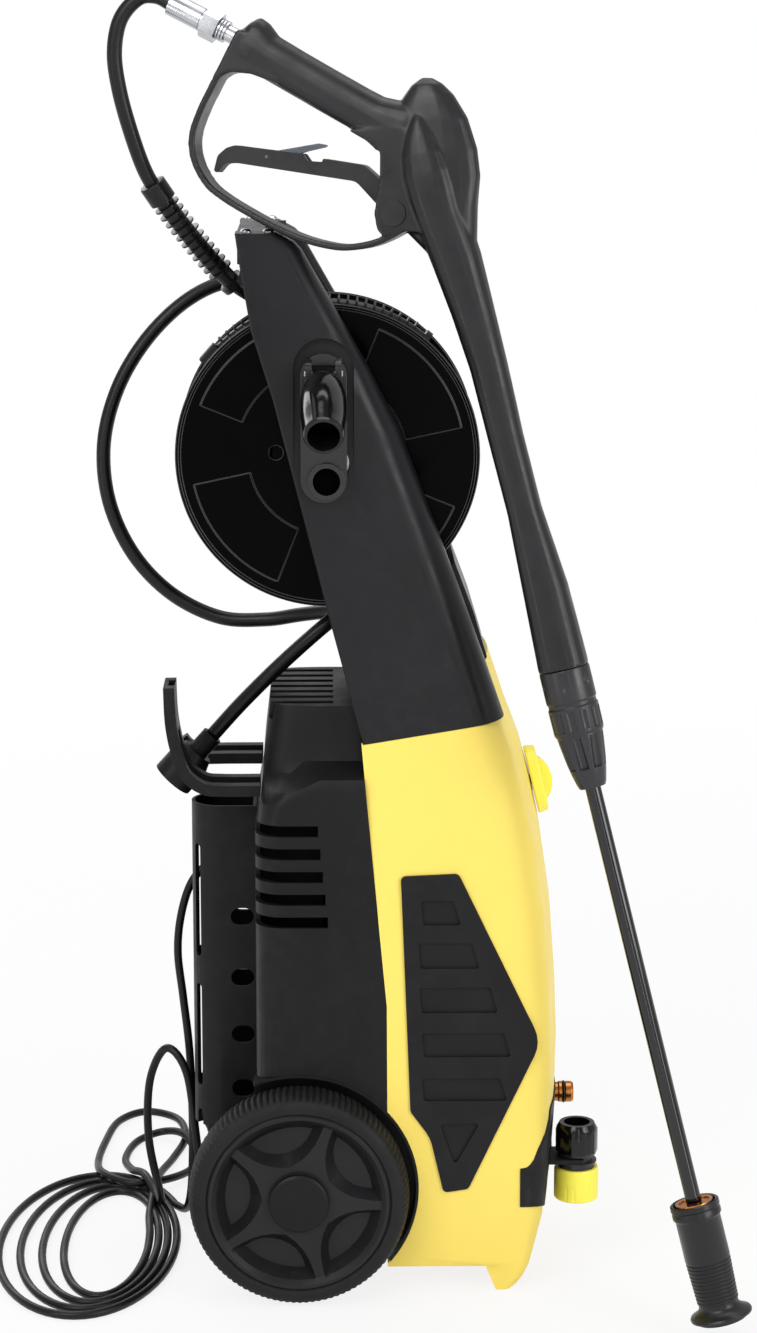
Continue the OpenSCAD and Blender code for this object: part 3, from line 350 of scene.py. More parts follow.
CORD_PVC = Finish("cord_pvc", screen(16, 16, 18), 0.38, grain_mm=1.2, specular=0.30)
ZINC = Finish("zinc_steel", screen(188, 190, 194), 0.26, mottle=0.05, metallic=1.0, grain_mm=0.4,
              grain_depth_mm=0.004)
LATCH_STEEL = Finish("latch_steel", screen(92, 97, 105), 0.38, mottle=0.08, metallic=1.0, grain_mm=0.4,
                     grain_depth_mm=0.006)
BRASS = Finish("brass", screen(186, 118, 62), 0.28, mottle=0.10, metallic=1.0, grain_mm=0.3,
               grain_depth_mm=0.006)
# Painted shade: a near-black finish for the inside of the crank arm's shallow cup, so that it looks like a
# deep, shaded hole.
HOLE_SHADE_BLACK = Finish("painted_hole_shade", screen(3, 3, 3), 0.9, mottle=0.05, specular=0.02)
# Black plastic, made darker than the other blacks to paint the shade inside the vents that the wiring box is
# seen through.
INNER_SHADE_BLACK = Finish("inner_plastic_painted_shade", screen(12, 12, 13), 0.6, specular=0.10)
LANCE_GREY = Finish("lance_plastic", screen(38, 38, 41), 0.34, grain_mm=0.6, worn=0.05, specular=0.45)
ALLOY = Finish("cast_alloy", screen(168, 170, 174), 0.48, metallic=1.0, grain_mm=1.0, grain_depth_mm=0.08,
               dust=0.05, worn=0.10)
TUBE_BLACK = Finish("lance_coating", screen(6, 6, 7), 0.10, marks=0.03, grain_depth_mm=0.002, dust=0.05,
                    specular=0.62)


# ---- mesh helpers

def enter(name: str, data: bpy.types.ID) -> Piece:
    """Puts a new object into the scene.

    Args:
        name: The object's name.
        data: Its mesh, lamp or camera.

    Returns:
        The new object.
    """
    thing = bpy.data.objects.new(name, data)
    bpy.context.scene.collection.objects.link(thing)
    return thing


def publish(name: str, mesh: bpy.types.Mesh, finish: Finish) -> Piece:
    """Puts a mesh into the scene as a piece with one finish.

    Args:
        name: The piece's name.
        mesh: Its mesh.
        finish: Its surface.

    Returns:
        The new object.
    """
    mesh.materials.clear()
    mesh.materials.append(finish.material())
    return enter(name, mesh)


def mesh_of(name: str, work: bmesh.types.BMesh) -> bpy.types.Mesh:
    """Makes a mesh from a work mesh, which it frees.

    Args:
        name: The mesh's name.
        work: The corners and faces.

    Returns:
        The new mesh.
    """
    mesh = bpy.data.meshes.new(name)
    work.to_mesh(mesh)
    work.free()
    return mesh


def skin(work: bmesh.types.BMesh, rings: list[list[bmesh.types.BMVert]]) -> None:
    """Lays smooth faces between each ring of corners and the next.

    Args:
        work: The work mesh that holds the corners.
        rings: The rings, with equal numbers of corners.
    """
    for first, second in zip(rings, rings[1:]):
        for k, corner in enumerate(first):
            j = (k + 1) % len(first)
            work.faces.new((corner, first[j], second[j], second[k])).smooth = True


def round_steps(count: int) -> list[float]:
    """Divides a full turn into equal steps, as angles from zero."""
    return [math.tau * k / count for k in range(count)]


def weld(mesh: bpy.types.Mesh, flat_deg: float, sharp_deg: float) -> None:
    """Joins loose corners, merges flat facets and marks the sharp edges.

    Args:
        mesh: The mesh to clean.
        flat_deg: Facets closer than this in direction become one.
        sharp_deg: Edges that turn more than this stay sharp.
    """
    work = bmesh.new()
    work.from_mesh(mesh)
    bmesh.ops.remove_doubles(work, verts=work.verts, dist=SAME_SPOT)
    bmesh.ops.dissolve_limit(work, angle_limit=math.radians(flat_deg), verts=work.verts, edges=work.edges)
    for edge in work.edges:
        edge.smooth = len(edge.link_faces) == 2 and edge.calc_face_angle(0.0) < math.radians(sharp_deg)
    for face in work.faces:
        face.smooth = True
    work.to_mesh(mesh)
    work.free()


def dress(node: str, finish: Finish, edge: Edge) -> Piece:
    """Makes the visible piece for a solid: its own mesh with rounded edges and a finish.

    Args:
        node: The solid that the piece stands for.
        finish: Its surface.
        edge: How far its edges are rounded.

    Returns:
        The new piece, riding on the solid's body.
    """
    mesh = frame["nodes"][node].data.copy()
    weld(mesh, MERGE_DEG, ROUNDED_DEG)
    piece = publish(f"{node}_piece", mesh, finish)
    bevel = piece.modifiers.new("edges", "BEVEL")
    bevel.width = edge.value * MM
    bevel.segments = 2
    bevel.limit_method = "ANGLE"
    bevel.angle_limit = math.radians(ROUNDED_DEG)
    bevel.miter_outer = "MITER_ARC"
    bevel.harden_normals = True
    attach(piece, BODY_OF[node])
    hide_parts(node)
    LOG.info("dressed %s", node)
    return piece


def paint_hole_shade(piece: Piece, at: Vector, along: Vector, radius: float, finish: Finish) -> None:
    """Paints shade into the inside of a round hole by giving its faces a darker finish of their own.

    Args:
        piece: The piece with the hole.
        at: The middle of the hole's mouth.
        along: The direction into the hole.
        radius: The hole's radius.
        finish: The dark finish that stands in for the shade inside.
    """
    piece.data.materials.append(finish.material())
    index = len(piece.data.materials) - 1
    for face in piece.data.polygons:
        offset = face.center - at
        deep = offset.dot(along)
        if deep > SKIN_DEPTH and (offset - along * deep).length < radius:
            face.material_index = index


def catmull(points: list[Vector], steps: int) -> list[Vector]:
    """Runs a smooth curve through points.

    Args:
        points: The points it passes.
        steps: Steps between each pair.

    Returns:
        The curve's points.
    """
    last = len(points) - 1
    curve = []
    for i in range(last):
        a, b, c, d = points[max(i - 1, 0)], points[i], points[i + 1], points[min(i + 2, last)]
        for k in range(steps):
            t = k / steps
            curve.append(0.5 * (2 * b + (c - a) * t + (2 * a - 5 * b + 4 * c - d) * t * t
                                + (3 * b - a - 3 * c + d) * t ** 3))
    return curve + [points[last]]


def run_length(points: list[Vector]) -> float:
    """Adds up the length of a line through points."""
    return sum((b - a).length for a, b in zip(points, points[1:]))


def sweep(name: str, points: list[Vector], radius: float | list[float], finish: Finish,
          sides: int = 14) -> Piece:
    """Sweeps a round tube along points, without twist.

    Args:
        name: The piece's name.
        points: The line that it follows.
        radius: One radius, or one for each point.
        finish: Its surface.
        sides: Corners round the tube.

    Returns:
        The tube.
    """
    radii = radius if isinstance(radius, list) else [radius] * len(points)
    work = bmesh.new()
    side = Vector((0.31, 0.89, 0.23))
    rings = []
    for i, point in enumerate(points):
        along = (points[min(i + 1, len(points) - 1)] - points[max(i - 1, 0)]).normalized()
        side = (side - along * side.dot(along)).normalized()
        up = along.cross(side)
        rings.append([work.verts.new(point + radii[i] * (math.cos(a) * side + math.sin(a) * up))
                      for a in round_steps(sides)])
    skin(work, rings)
    work.faces.new(list(reversed(rings[0])))
    work.faces.new(rings[-1])
    return publish(name, mesh_of(name, work), finish)


def crease(piece: Piece, sharp_deg: float = 35.0) -> None:
    """Shades a mesh smooth but for the edges that turn sharply.

    Args:
        piece: The piece to shade.
        sharp_deg: Edges that turn more than this stay sharp.
    """
    weld(piece.data, 0.0, sharp_deg)


def settle(piece: Piece) -> None:
    """Applies a piece's modifiers to its mesh."""
    graph = bpy.context.evaluated_depsgraph_get()
    finished = bpy.data.meshes.new_from_object(piece.evaluated_get(graph))
    piece.modifiers.clear()
    piece.data = finished


def turn(name: str, profile_mm: list[tuple[float, float]], foot: Vector, along: Vector,
         finish: Finish) -> Piece:
    """Turns a closed outline about a line.

    Args:
        name: The piece's name.
        profile_mm: The outline, each corner as its radius and its distance along the line.
        foot: Where the line starts.
        along: The line's direction.
        finish: The piece's surface.

    Returns:
        The turned piece.
    """
    side = along.orthogonal().normalized()
    up = along.cross(side)
    work = bmesh.new()
    rings = []
    for a in round_steps(FINE_SIDES):
        out = math.cos(a) * side + math.sin(a) * up
        rings.append([work.verts.new(foot + (out * radius + along * place) * MM)
                      for radius, place in profile_mm])
    skin(work, rings + rings[:1])
    bmesh.ops.recalc_face_normals(work, faces=work.faces)
    return publish(name, mesh_of(name, work), finish)


def along_line(points: list[Vector], distance: float) -> Vector:
    """Finds a place on a line.

    Args:
        points: The line.
        distance: How far along it to go.

    Returns:
        The place.
    """
    for a, b in zip(points, points[1:]):
        step = (b - a).length
        if distance <= step:
            return a.lerp(b, distance / step)
        distance -= step
    return points[-1]


def ribbed_sleeve(name: str, line: list[Vector], cuff: float, pitch: float, low: float, high: float) -> Piece:
    """Builds a bend guard: a plain cuff, then a core with a row of thin ribs, then a short end ring.

    Args:
        name: The piece's name.
        line: The hose's line through the guard, from the cuff on.
        cuff: Length of the cuff.
        pitch: Distance between ribs.
        low: Radius between the ribs.
        high: Radius of the ribs and the cuff.

    Returns:
        The guard.
    """
    total = run_length(line)
    wall, chamfer, end_ring = 0.0018, 0.0006, 0.006
    profile = [(0.0, low - wall), (chamfer, high - chamfer), (0.0014, high), (cuff - 0.001, high),
               (cuff, low)]
    place = cuff + pitch * 0.5
    while place + pitch < total - end_ring:
        profile += [(place, low), (place + 0.0002, high), (place + 0.0016, high), (place + 0.0018, low)]
        place += pitch
    profile += [(total - end_ring, low), (total - end_ring + 0.0002, high), (total - chamfer, high),
                (total, low - wall)]
    stops = [(along_line(line, d), r) for d, r in profile]
    piece = sweep(name, [p for p, _ in stops], [r for _, r in stops], HOSE_RUBBER, 24)
    crease(piece)
    return piece


def stood(points_mm: list[tuple[float, float, float]]) -> list[Vector]:
    """Moves points from the wheel axle's frame to the front foot's, and to metres."""
    return [Vector([v * MM for v in p]) + STAND for p in points_mm]


# ---- carried solids

Solids = dict[str, tuple[Finish, Edge]]


def carried(**solids: tuple[Finish, Edge]) -> Solids:
    """Lists the solids that a group carries over, as the default of its field."""
    return field(default_factory=lambda: dict(solids))


@dataclass
class SubAssembly:
    """A group of pieces that take their shape from the solids.

    Attributes:
        solids: The finish and the edge rounding of each solid that is carried over.
        pieces: The visible pieces, by the solid's name, once they are built.
    """

    solids: Solids
    pieces: dict[str, Piece] = field(default_factory=dict)

    def carry(self) -> None:
        """Makes a visible piece for each solid."""
        for node, (finish, edge) in self.solids.items():
            self.pieces[node] = dress(node, finish, edge)

    def build(self) -> None:
        """Builds everything in the group."""
        self.carry()
        LOG.info("%s: %s", type(self).__name__, ", ".join(self.solids))


@dataclass
class Body(SubAssembly):
    """The two shells, the panels, the arms and what is inside the body."""

    solids: Solids = carried(
        front_shell=(YELLOW, Edge.MOULDED), rear_shell=(REAR_BLACK, Edge.MOULDED),
        side_panels=(PANEL_BLACK, Edge.MOULDED), front_insert=(PANEL_BLACK, Edge.MOULDED),
        right_arm=(ARM_BLACK, Edge.SOFT), left_arm=(ARM_BLACK, Edge.SOFT),
        top_crossbar=(ARM_BLACK, Edge.MOULDED), arm_bridge=(ARM_BLACK, Edge.MOULDED),
        chassis=(REAR_BLACK, Edge.MOULDED), arch_liners=(REAR_BLACK, Edge.CRISP),
        motor=(ALLOY, Edge.CRISP), pump=(ALLOY, Edge.MOULDED),
        # the wiring box's finish is darkened as painted shade for the inside of the vents
        wiring_box=(INNER_SHADE_BLACK, Edge.CRISP))


@dataclass
class ArmScrews:
    """The cross-head screws that hold the crossbar, two in the top of each arm."""

    radius: float = 0.0046
    rise: float = 0.0030
    slot: float = 0.0012            # width of the cross
    first_turn: float = 0.4         # turn of the first head, in radians
    next_turn: float = 0.9          # further turn of each next one
    places: tuple[tuple[float, float], ...] = ((-0.0375, -0.077), (-0.020, -0.077), (-0.0375, 0.077),
                                               (-0.020, 0.077))
    level: float = 0.858            # height of the arms' tops

    def head(self) -> bpy.types.Mesh:
        """Builds one domed head with its foot at the origin."""
        work = bmesh.new()
        rings = []
        for share in (0.0, 0.45, 0.75, 0.92, 1.0):
            size = self.radius * math.cos(share * math.pi / 2) if share < 1.0 else self.radius * 0.03
            height = self.rise * (0.25 + 0.75 * math.sin(share * math.pi / 2))
            rings.append([work.verts.new((size * math.cos(a), size * math.sin(a), height))
                          for a in round_steps(32)])
        foot = [work.verts.new((v.co.x, v.co.y, -0.0004)) for v in rings[0]]
        skin(work, [foot] + rings)
        work.faces.new(rings[-1])
        work.faces.new(list(reversed(foot)))
        return mesh_of("screw", work)

    def cutter(self) -> Piece:
        """Builds the cross that is sunk in a head."""
        work = bmesh.new()
        for wide, deep in ((self.radius * 1.1, self.slot), (self.slot, self.radius * 1.1)):
            made = bmesh.ops.create_cube(work, size=1.0)
            bmesh.ops.scale(work, vec=(wide, deep, 0.004), verts=made["verts"])
            bmesh.ops.translate(work, vec=(0.0, 0.0, self.rise + 0.0006), verts=made["verts"])
        return enter("cross", mesh_of("cross", work))

    def build(self) -> None:
        """Sets a screw in each place."""
        mesh, cutter = self.head(), self.cutter()
        for index, (x, y) in enumerate(self.places):
            piece = publish(f"arm_screw_{index + 1}_piece", mesh.copy(), ZINC)
            cut = piece.modifiers.new("cross", "BOOLEAN")
            cut.object = cutter
            cut.solver = "EXACT"
            settle(piece)
            piece.data.transform(Matrix.Translation(Vector((x, y, self.level)) + STAND)
                                 @ Matrix.Rotation(self.first_turn + index * self.next_turn, 4, "Z"))
            crease(piece)
            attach(piece, "body")
        bpy.data.objects.remove(cutter)
        LOG.info("%d arm screws", len(self.places))


@dataclass
class Wheels(SubAssembly):
    """The axle with both wheels, their tyres and their hub caps."""

    solids: Solids = carried(
        axle=(ZINC, Edge.CRISP), right_wheel=(WHEEL_BLACK, Edge.MOULDED),
        left_wheel=(WHEEL_BLACK, Edge.MOULDED), right_hub_cap=(REAR_BLACK, Edge.MOULDED),
        left_hub_cap=(REAR_BLACK, Edge.MOULDED))
    outer_face: float = 0.145       # from the middle to a tyre's outer side
    play: float = 0.985             # share of its thickness that the axle keeps
    ribs: int = 104
    groove: float = 0.0019          # depth between the ribs
    section_mm: tuple[tuple[float, float], ...] = (     # radius, and distance from the outer side
        (74.0, -1.5), (75.0, -0.2), (77.0, 0.6), (79.4, 0.6), (82.2, -0.3), (84.6, -1.9), (86.2, -4.2),
        (87.4, -7.6), (88.5, -12.5), (89.2, -20.0), (88.5, -29.5), (87.4, -35.0), (86.2, -38.6),
        (84.6, -41.0), (82.2, -42.4), (79.4, -43.0), (77.0, -43.0), (75.0, -42.7), (74.0, -42.0))
    shoulder_mm: float = 84.8       # radius where the ribs start
    fade_mm: float = 2.6            # width in which they rise
    sharp_deg: float = 28.0

    def tyre(self, hand: int) -> None:
        """Builds a tyre with fine ribs across its tread.

        Args:
            hand: -1 for the right wheel, 1 for the left one.
        """
        depths = (0.0, 0.0, 0.35, 1.0, 0.35)
        name = f"{'right' if hand < 0 else 'left'}_tyre"
        work = bmesh.new()
        rings = []
        for k, angle in enumerate(round_steps(self.ribs * len(depths))):
            sunk = depths[k % len(depths)] * self.groove
            ring = []
            for radius_mm, depth_mm in self.section_mm:
                share = min(max((radius_mm - self.shoulder_mm) / self.fade_mm, 0.0), 1.0)
                radius = radius_mm * MM - sunk * share
                ring.append(work.verts.new((
                    radius * math.cos(angle), hand * (self.outer_face + depth_mm * MM),
                    WHEEL_RADIUS + radius * math.sin(angle))))
            rings.append(ring)
        skin(work, rings + rings[:1])
        bmesh.ops.recalc_face_normals(work, faces=work.faces)
        bmesh.ops.translate(work, vec=STAND, verts=work.verts)
        piece = publish(f"{name}_piece", mesh_of(f"{name}_piece", work), TYRE_BLACK)
        crease(piece, self.sharp_deg)
        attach(piece, BODY_OF[name])
        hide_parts(name)

    def build(self) -> None:
        """Builds the carried solids and the tyres, with a little play round the axle."""
        super().build()
        middle = Matrix.Translation(STAND + Vector((0.0, 0.0, WHEEL_RADIUS)))
        self.pieces["axle"].data.transform(middle @ Matrix.Diagonal((self.play, 1.0, self.play, 1.0))
                                           @ middle.inverted())
        for hand in (-1, 1):
            self.tyre(hand)


@dataclass
class Back(SubAssembly):
    """The lance holder and the two hooks behind the body."""

    solids: Solids = carried(
        lance_holder=(REAR_BLACK, Edge.MOULDED), right_cord_hook=(REAR_BLACK, Edge.MOULDED),
        left_cord_hook=(REAR_BLACK, Edge.MOULDED), cord_gland=(CORD_PVC, Edge.CRISP))


@dataclass
class FrontFittings(SubAssembly):
    """The switch and the water fittings."""

    solids: Solids = carried(
        switch_knob=(FITTING_YELLOW, Edge.SOFT), rotary_switch=(REAR_BLACK, Edge.CRISP),
        water_inlet=(BRASS, Edge.CRISP), inlet_seal=(HOSE_RUBBER, Edge.CRISP),
        water_outlet=(BRASS, Edge.CRISP))


@dataclass
class QuickConnector(SubAssembly):
    """The hose connector that hangs on the front."""

    solids: Solids = carried(
        connector_nut=(GLOSS_BLACK, Edge.CRISP), connector_body=(LANCE_GREY, Edge.CRISP),
        connector_collar=(FITTING_YELLOW, Edge.CRISP))


# ---- hoses and cord

GUN_HOSE_ROUTE_MM = [
    (46, 15, 789), (24, 15, 791), (-4, 12, 793), (-28, 6, 799), (-48, -2, 811), (-66, -10, 830),
    (-86, -18, 855), (-104, -26, 880), (-117, -32, 902), (-128, -37, 934), (-136, -41, 966),
    (-139, -43, 994), (-134, -44, 1019), (-120, -44, 1035), (-106, -45, 1036.6), (-94.8, -48, 1031.2)]
SUPPLY_ROUTE_MM = [
    (16, 116, 704.6), (9, 116, 724), (1, 117, 752), (-9, 118, 780), (-28, 118, 800), (-60, 116, 803),
    (-94, 112, 787), (-126, 107, 756), (-150, 102, 716), (-162, 97, 670), (-158, 92, 622), (-138, 87, 578),
    (-106, 82, 545), (-66, 77, 526), (-28, 71, 525), (2, 61, 531), (26, 44, 537), (40, 22, 542),
    (41, 0, 544), (30, -13, 542), (10, -16, 526), (-18, -10, 499), (-46, -4, 469.7), (-70, -4, 443)]
CORD_LEAD_MM = [
    (-60, 48, 322), (-76, 48, 320), (-91, 46, 304), (-100, 44, 276), (-103, 42, 244), (-99, 40, 206),
    (-94, 36, 160), (-92, 31, 110), (-92, 28, 70), (-94, 34, 34), (-99, 52, 11)]
CORD_REST_MM = [
    (-128.6, 12, 4), (-131, 50, 5), (-130, 84, 9.6), (-129, 112, 11.6), (-125, 150, 8), (-116, 198, 4),
    (-108, 250, 4), (-118, 300, 4), (-148, 320, 4), (-172, 294, 4), (-181, 240, 4), (-184, 182, 5),
    (-176, 138, 11), (-150, 112, 11.6), (-120, 124, 10), (-99, 164, 5), (-98, 208, 6), (-110, 238, 11.4),
    (-130, 256, 7), (-152, 238, 4), (-160, 194, 4), (-152, 150, 10), (-138, 113, 18.8), (-124, 74, 12.5),
    (-121, 46, 26), (-130, 42, 78), (-128, 38, 132), (-113, 27, 164), (-96, 17, 146), (-88, 9, 92),
    (-84, 14, 46), (-76, 36, 16), (-67, 70, 5), (-62, 112, 4), (-61, 150, 4), (-57, 184, 4),
    (-43.4, 203.4, 5)]


@dataclass
class LooseLoops:
    """The flat turns of cord that lie inside each other on the floor."""

    turns: int = 4
    right: float = -0.097           # x of the outermost turn on its right
    left: float = -0.254            # and on its left
    middle: float = -0.0085         # y of the middle of the turns
    longer: float = 0.0805          # how much further a turn reaches along y
    lap_right: float = 0.0078       # how far each lies inside the one before, on the right
    lap_left: float = 0.0183        # and on the left
    height: float = 0.004
    first_deg: float = 33.0         # where the lead joins the first turn
    steps: int = 30                 # points on half a turn

    def half_turn(self, a: float, b: float, first: float, last: float) -> list[Vector]:
        """Walks round part of an oval.

        Args:
            a: The x of its right side.
            b: The x of its left side.
            first: The angle to start at, from the right side towards the back, in degrees.
            last: The angle to end at.

        Returns:
            Points on the bend, without the last one.
        """
        wide = abs(a - b) / 2
        angles = [math.radians(first + (last - first) * k / self.steps) for k in range(self.steps)]
        return [Vector(((a + b) / 2 + wide * math.cos(t), self.middle + (wide + self.longer) * math.sin(t),
                        self.height)) for t in angles]

    def points(self) -> list[Vector]:
        """Walks all turns, from the outermost to the innermost."""
        line = []
        for i in range(self.turns):
            right, left = self.right - i * self.lap_right, self.left + i * self.lap_left
            line += self.half_turn(right, left, self.first_deg if i == 0 else 0.0, 180.0)
            line += self.half_turn(right - self.lap_right, left, 180.0, 360.0)
        return [p + STAND for p in line]


@dataclass
class Hoses(SubAssembly):
    """The gun hose, the supply hose and the mains cord with its coil."""

    solids: Solids = carried(
        supply_nut=(REAR_BLACK, Edge.CRISP), plug=(CORD_PVC, Edge.MOULDED))
    hose_radius: float = 0.0060
    cord_radius: float = 0.0035
    cord_length: float = 6.0
    coil_middle: Vector = field(default_factory=lambda: Vector((0.006, 0.214, 0.0)) + STAND)
    coil_radius: float = 0.042
    turns_beside: int = 2
    bare: float = 0.010             # end of the solid guard that is left as bare hose

    def gun_hose(self) -> None:
        """Builds the hose that rises from the reel and enters the gun."""
        path = catmull(stood(GUN_HOSE_ROUTE_MM), 8)
        piece = sweep("gun_hose_piece", path, self.hose_radius, HOSE_RUBBER, 20)
        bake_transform(piece)
        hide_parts("gun_hose")

    def bend_guard(self) -> None:
        """Builds the ribbed guard where the gun hose leaves the reel."""
        line = list(reversed(catmull(stood(GUN_HOSE_ROUTE_MM), 8)[4 * 8:8 * 8 + 1]))
        rest = [p for k, p in enumerate(line) if run_length(line[:k + 1]) > self.bare + 0.001]
        piece = ribbed_sleeve("hose_bend_guard_piece", [along_line(line, self.bare)] + rest, cuff=0.018,
                              pitch=0.0068, low=0.0072, high=0.0108)
        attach(piece, "body")
        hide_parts("hose_bend_guard")

    def supply_hose(self) -> None:
        """Builds the hose that hangs from the reel's swivel, with the hand nut on its end."""
        path = catmull(stood(SUPPLY_ROUTE_MM), 8)
        piece = sweep("supply_hose_piece", path, self.hose_radius, HOSE_RUBBER, 20)
        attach(piece, "body")
        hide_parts("supply_hose")

    def coil(self, start: Vector, length: float) -> list[Vector]:
        """Winds the rest of the cord into a neat round coil.

        Args:
            start: Where the cord arrives at the coil.
            length: Length to wind.

        Returns:
            Points along the turns.
        """
        pitch, beside, above = 2 * self.cord_radius, 0.93, 0.9
        angle = math.atan2(start.y - self.coil_middle.y, start.x - self.coil_middle.x)
        points, walked, turned = [], 0.0, 0.0
        step = math.tau / 40
        while walked < length:
            turn = turned / math.tau
            layer, place = divmod(turn, self.turns_beside)
            across = place if int(layer) % 2 == 0 else self.turns_beside - place
            radius = self.coil_radius + (self.turns_beside / 2 - across) * pitch * beside
            height = self.cord_radius + 0.0005 + layer * pitch * above
            points.append(self.coil_middle + Vector((radius * math.cos(angle + turned),
                                                     radius * math.sin(angle + turned), height)))
            if len(points) > 1:
                walked += (points[-1] - points[-2]).length
            turned += step
        return points

    def mains_cord(self) -> None:
        """Builds the mains cord from the gland to the plug."""
        loops = LooseLoops().points()
        lead = (catmull(stood(CORD_LEAD_MM) + loops[:1], 8)[:-1] + loops[:-1]
                + catmull([loops[-1]] + stood(CORD_REST_MM), 8))
        wound = self.coil(lead[-1], self.cord_length - run_length(lead))
        path = lead + wound[2:]
        piece = sweep("mains_cord_piece", path, self.cord_radius, CORD_PVC, 12)
        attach(piece, "body")
        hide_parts("power_cord", "cord_coil")

    def build(self) -> None:
        """Builds the fittings, then both hoses, the guard and the cord."""
        super().build()
        self.gun_hose()
        self.bend_guard()
        self.supply_hose()
        self.mains_cord()


# ---- reel

@dataclass
class Reel(SubAssembly):
    """The reel, the hose on it, the guard that lies on the hose, and the crank."""

    solids: Solids = carried(
        right_reel_flange=(REEL_BLACK, Edge.MOULDED), left_reel_flange=(REEL_BLACK, Edge.MOULDED),
        reel_drum=(REEL_BLACK, Edge.CRISP), reel_bearings=(ZINC, Edge.CRISP),
        hose_swivel=(BRASS, Edge.CRISP), crank_arm=(CRANK_BLACK, Edge.MOULDED),
        crank_grip=(GLOSS_BLACK, Edge.CRISP), crank_pin=(ZINC, Edge.CRISP))
    outer: float = 0.104            # radius over the winding
    core: float = 0.046             # radius of the drum under it
    hose_radius: float = 0.0060
    half_width: float = 0.0485
    turns: float = 7.0
    wander: float = 0.0006          # how far the turns stray from an even lay
    guard_radius: float = 0.1156
    guard_y: float = -0.033
    guard_from_deg: float = 144.0   # from the front upwards
    guard_to_deg: float = 48.0
    cup_at: Vector = field(default_factory=lambda: Vector((0.024, -0.112, 0.668)) + STAND)
    cup_radius: float = 0.0110      # of the cup in the crank's arm

    def around(self, radius: float, angle: float, y: float) -> Vector:
        """Finds a place round the reel's axis, with the angle measured from the front upwards."""
        return REEL_CENTRE + Vector((radius * math.cos(angle), y, radius * math.sin(angle)))

    def winding(self) -> None:
        """Winds the outer layer of hose on a core of earlier turns."""
        steps = int(self.turns * 64)
        line = []
        for k in range(steps + 1):
            share = k / steps
            angle = math.tau * self.turns * share
            stray = self.wander * noise.noise(Vector((angle * 0.6, 3.1, 0.0)))
            y = (2 * share - 1) * (self.half_width - self.hose_radius) + stray
            line.append(self.around(self.outer - self.hose_radius + stray, angle, y))
        piece = sweep("hose_winding_piece", line, self.hose_radius, HOSE_RUBBER, 14)
        work = bmesh.new()
        work.from_mesh(piece.data)
        rings = []
        for y in (-self.half_width, self.half_width):
            for radius in (self.core, self.outer - self.hose_radius * 1.2):
                rings.append([work.verts.new(self.around(radius, a, y)) for a in round_steps(FINE_SIDES)])
        skin(work, [rings[i] for i in (0, 2, 3, 1, 0)])
        bmesh.ops.recalc_face_normals(work, faces=work.faces)
        work.to_mesh(piece.data)
        work.free()
        crease(piece)
        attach(piece, "reel")
        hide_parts("hose_winding")

    def guard(self) -> None:
        """Lays the ribbed guard along the top of the winding."""
        first, last = math.radians(self.guard_from_deg), math.radians(self.guard_to_deg)
        steps = 60
        line = [self.around(self.guard_radius, first + (last - first) * k / steps, self.guard_y)
                for k in range(steps + 1)]
        piece = ribbed_sleeve("winding_bend_guard_piece", line, cuff=0.018, pitch=0.0068, low=0.0074,
                              high=0.0110)
        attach(piece, "reel")
        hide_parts("winding_bend_guard")

    def build(self) -> None:
        """Builds the carried solids, the winding and its guard."""
        super().build()
        # Painted shade: the inside of the crank arm's shallow cup gets a near-black finish.
        paint_hole_shade(self.pieces["crank_arm"], self.cup_at, Vector((0.0, 1.0, 0.0)), self.cup_radius,
                  HOLE_SHADE_BLACK)
        # Painted highlight: the flanges' rounded edges get the lighter edge finish, which draws thin lines of
        # light along them.
        for side in ("right", "left"):
            flange = self.pieces[f"{side}_reel_flange"]
            flange.data.materials.append(REEL_HIGHLIGHT_EDGE.material())
            flange.modifiers["edges"].material = 1
        self.winding()
        self.guard()


# ---- gun

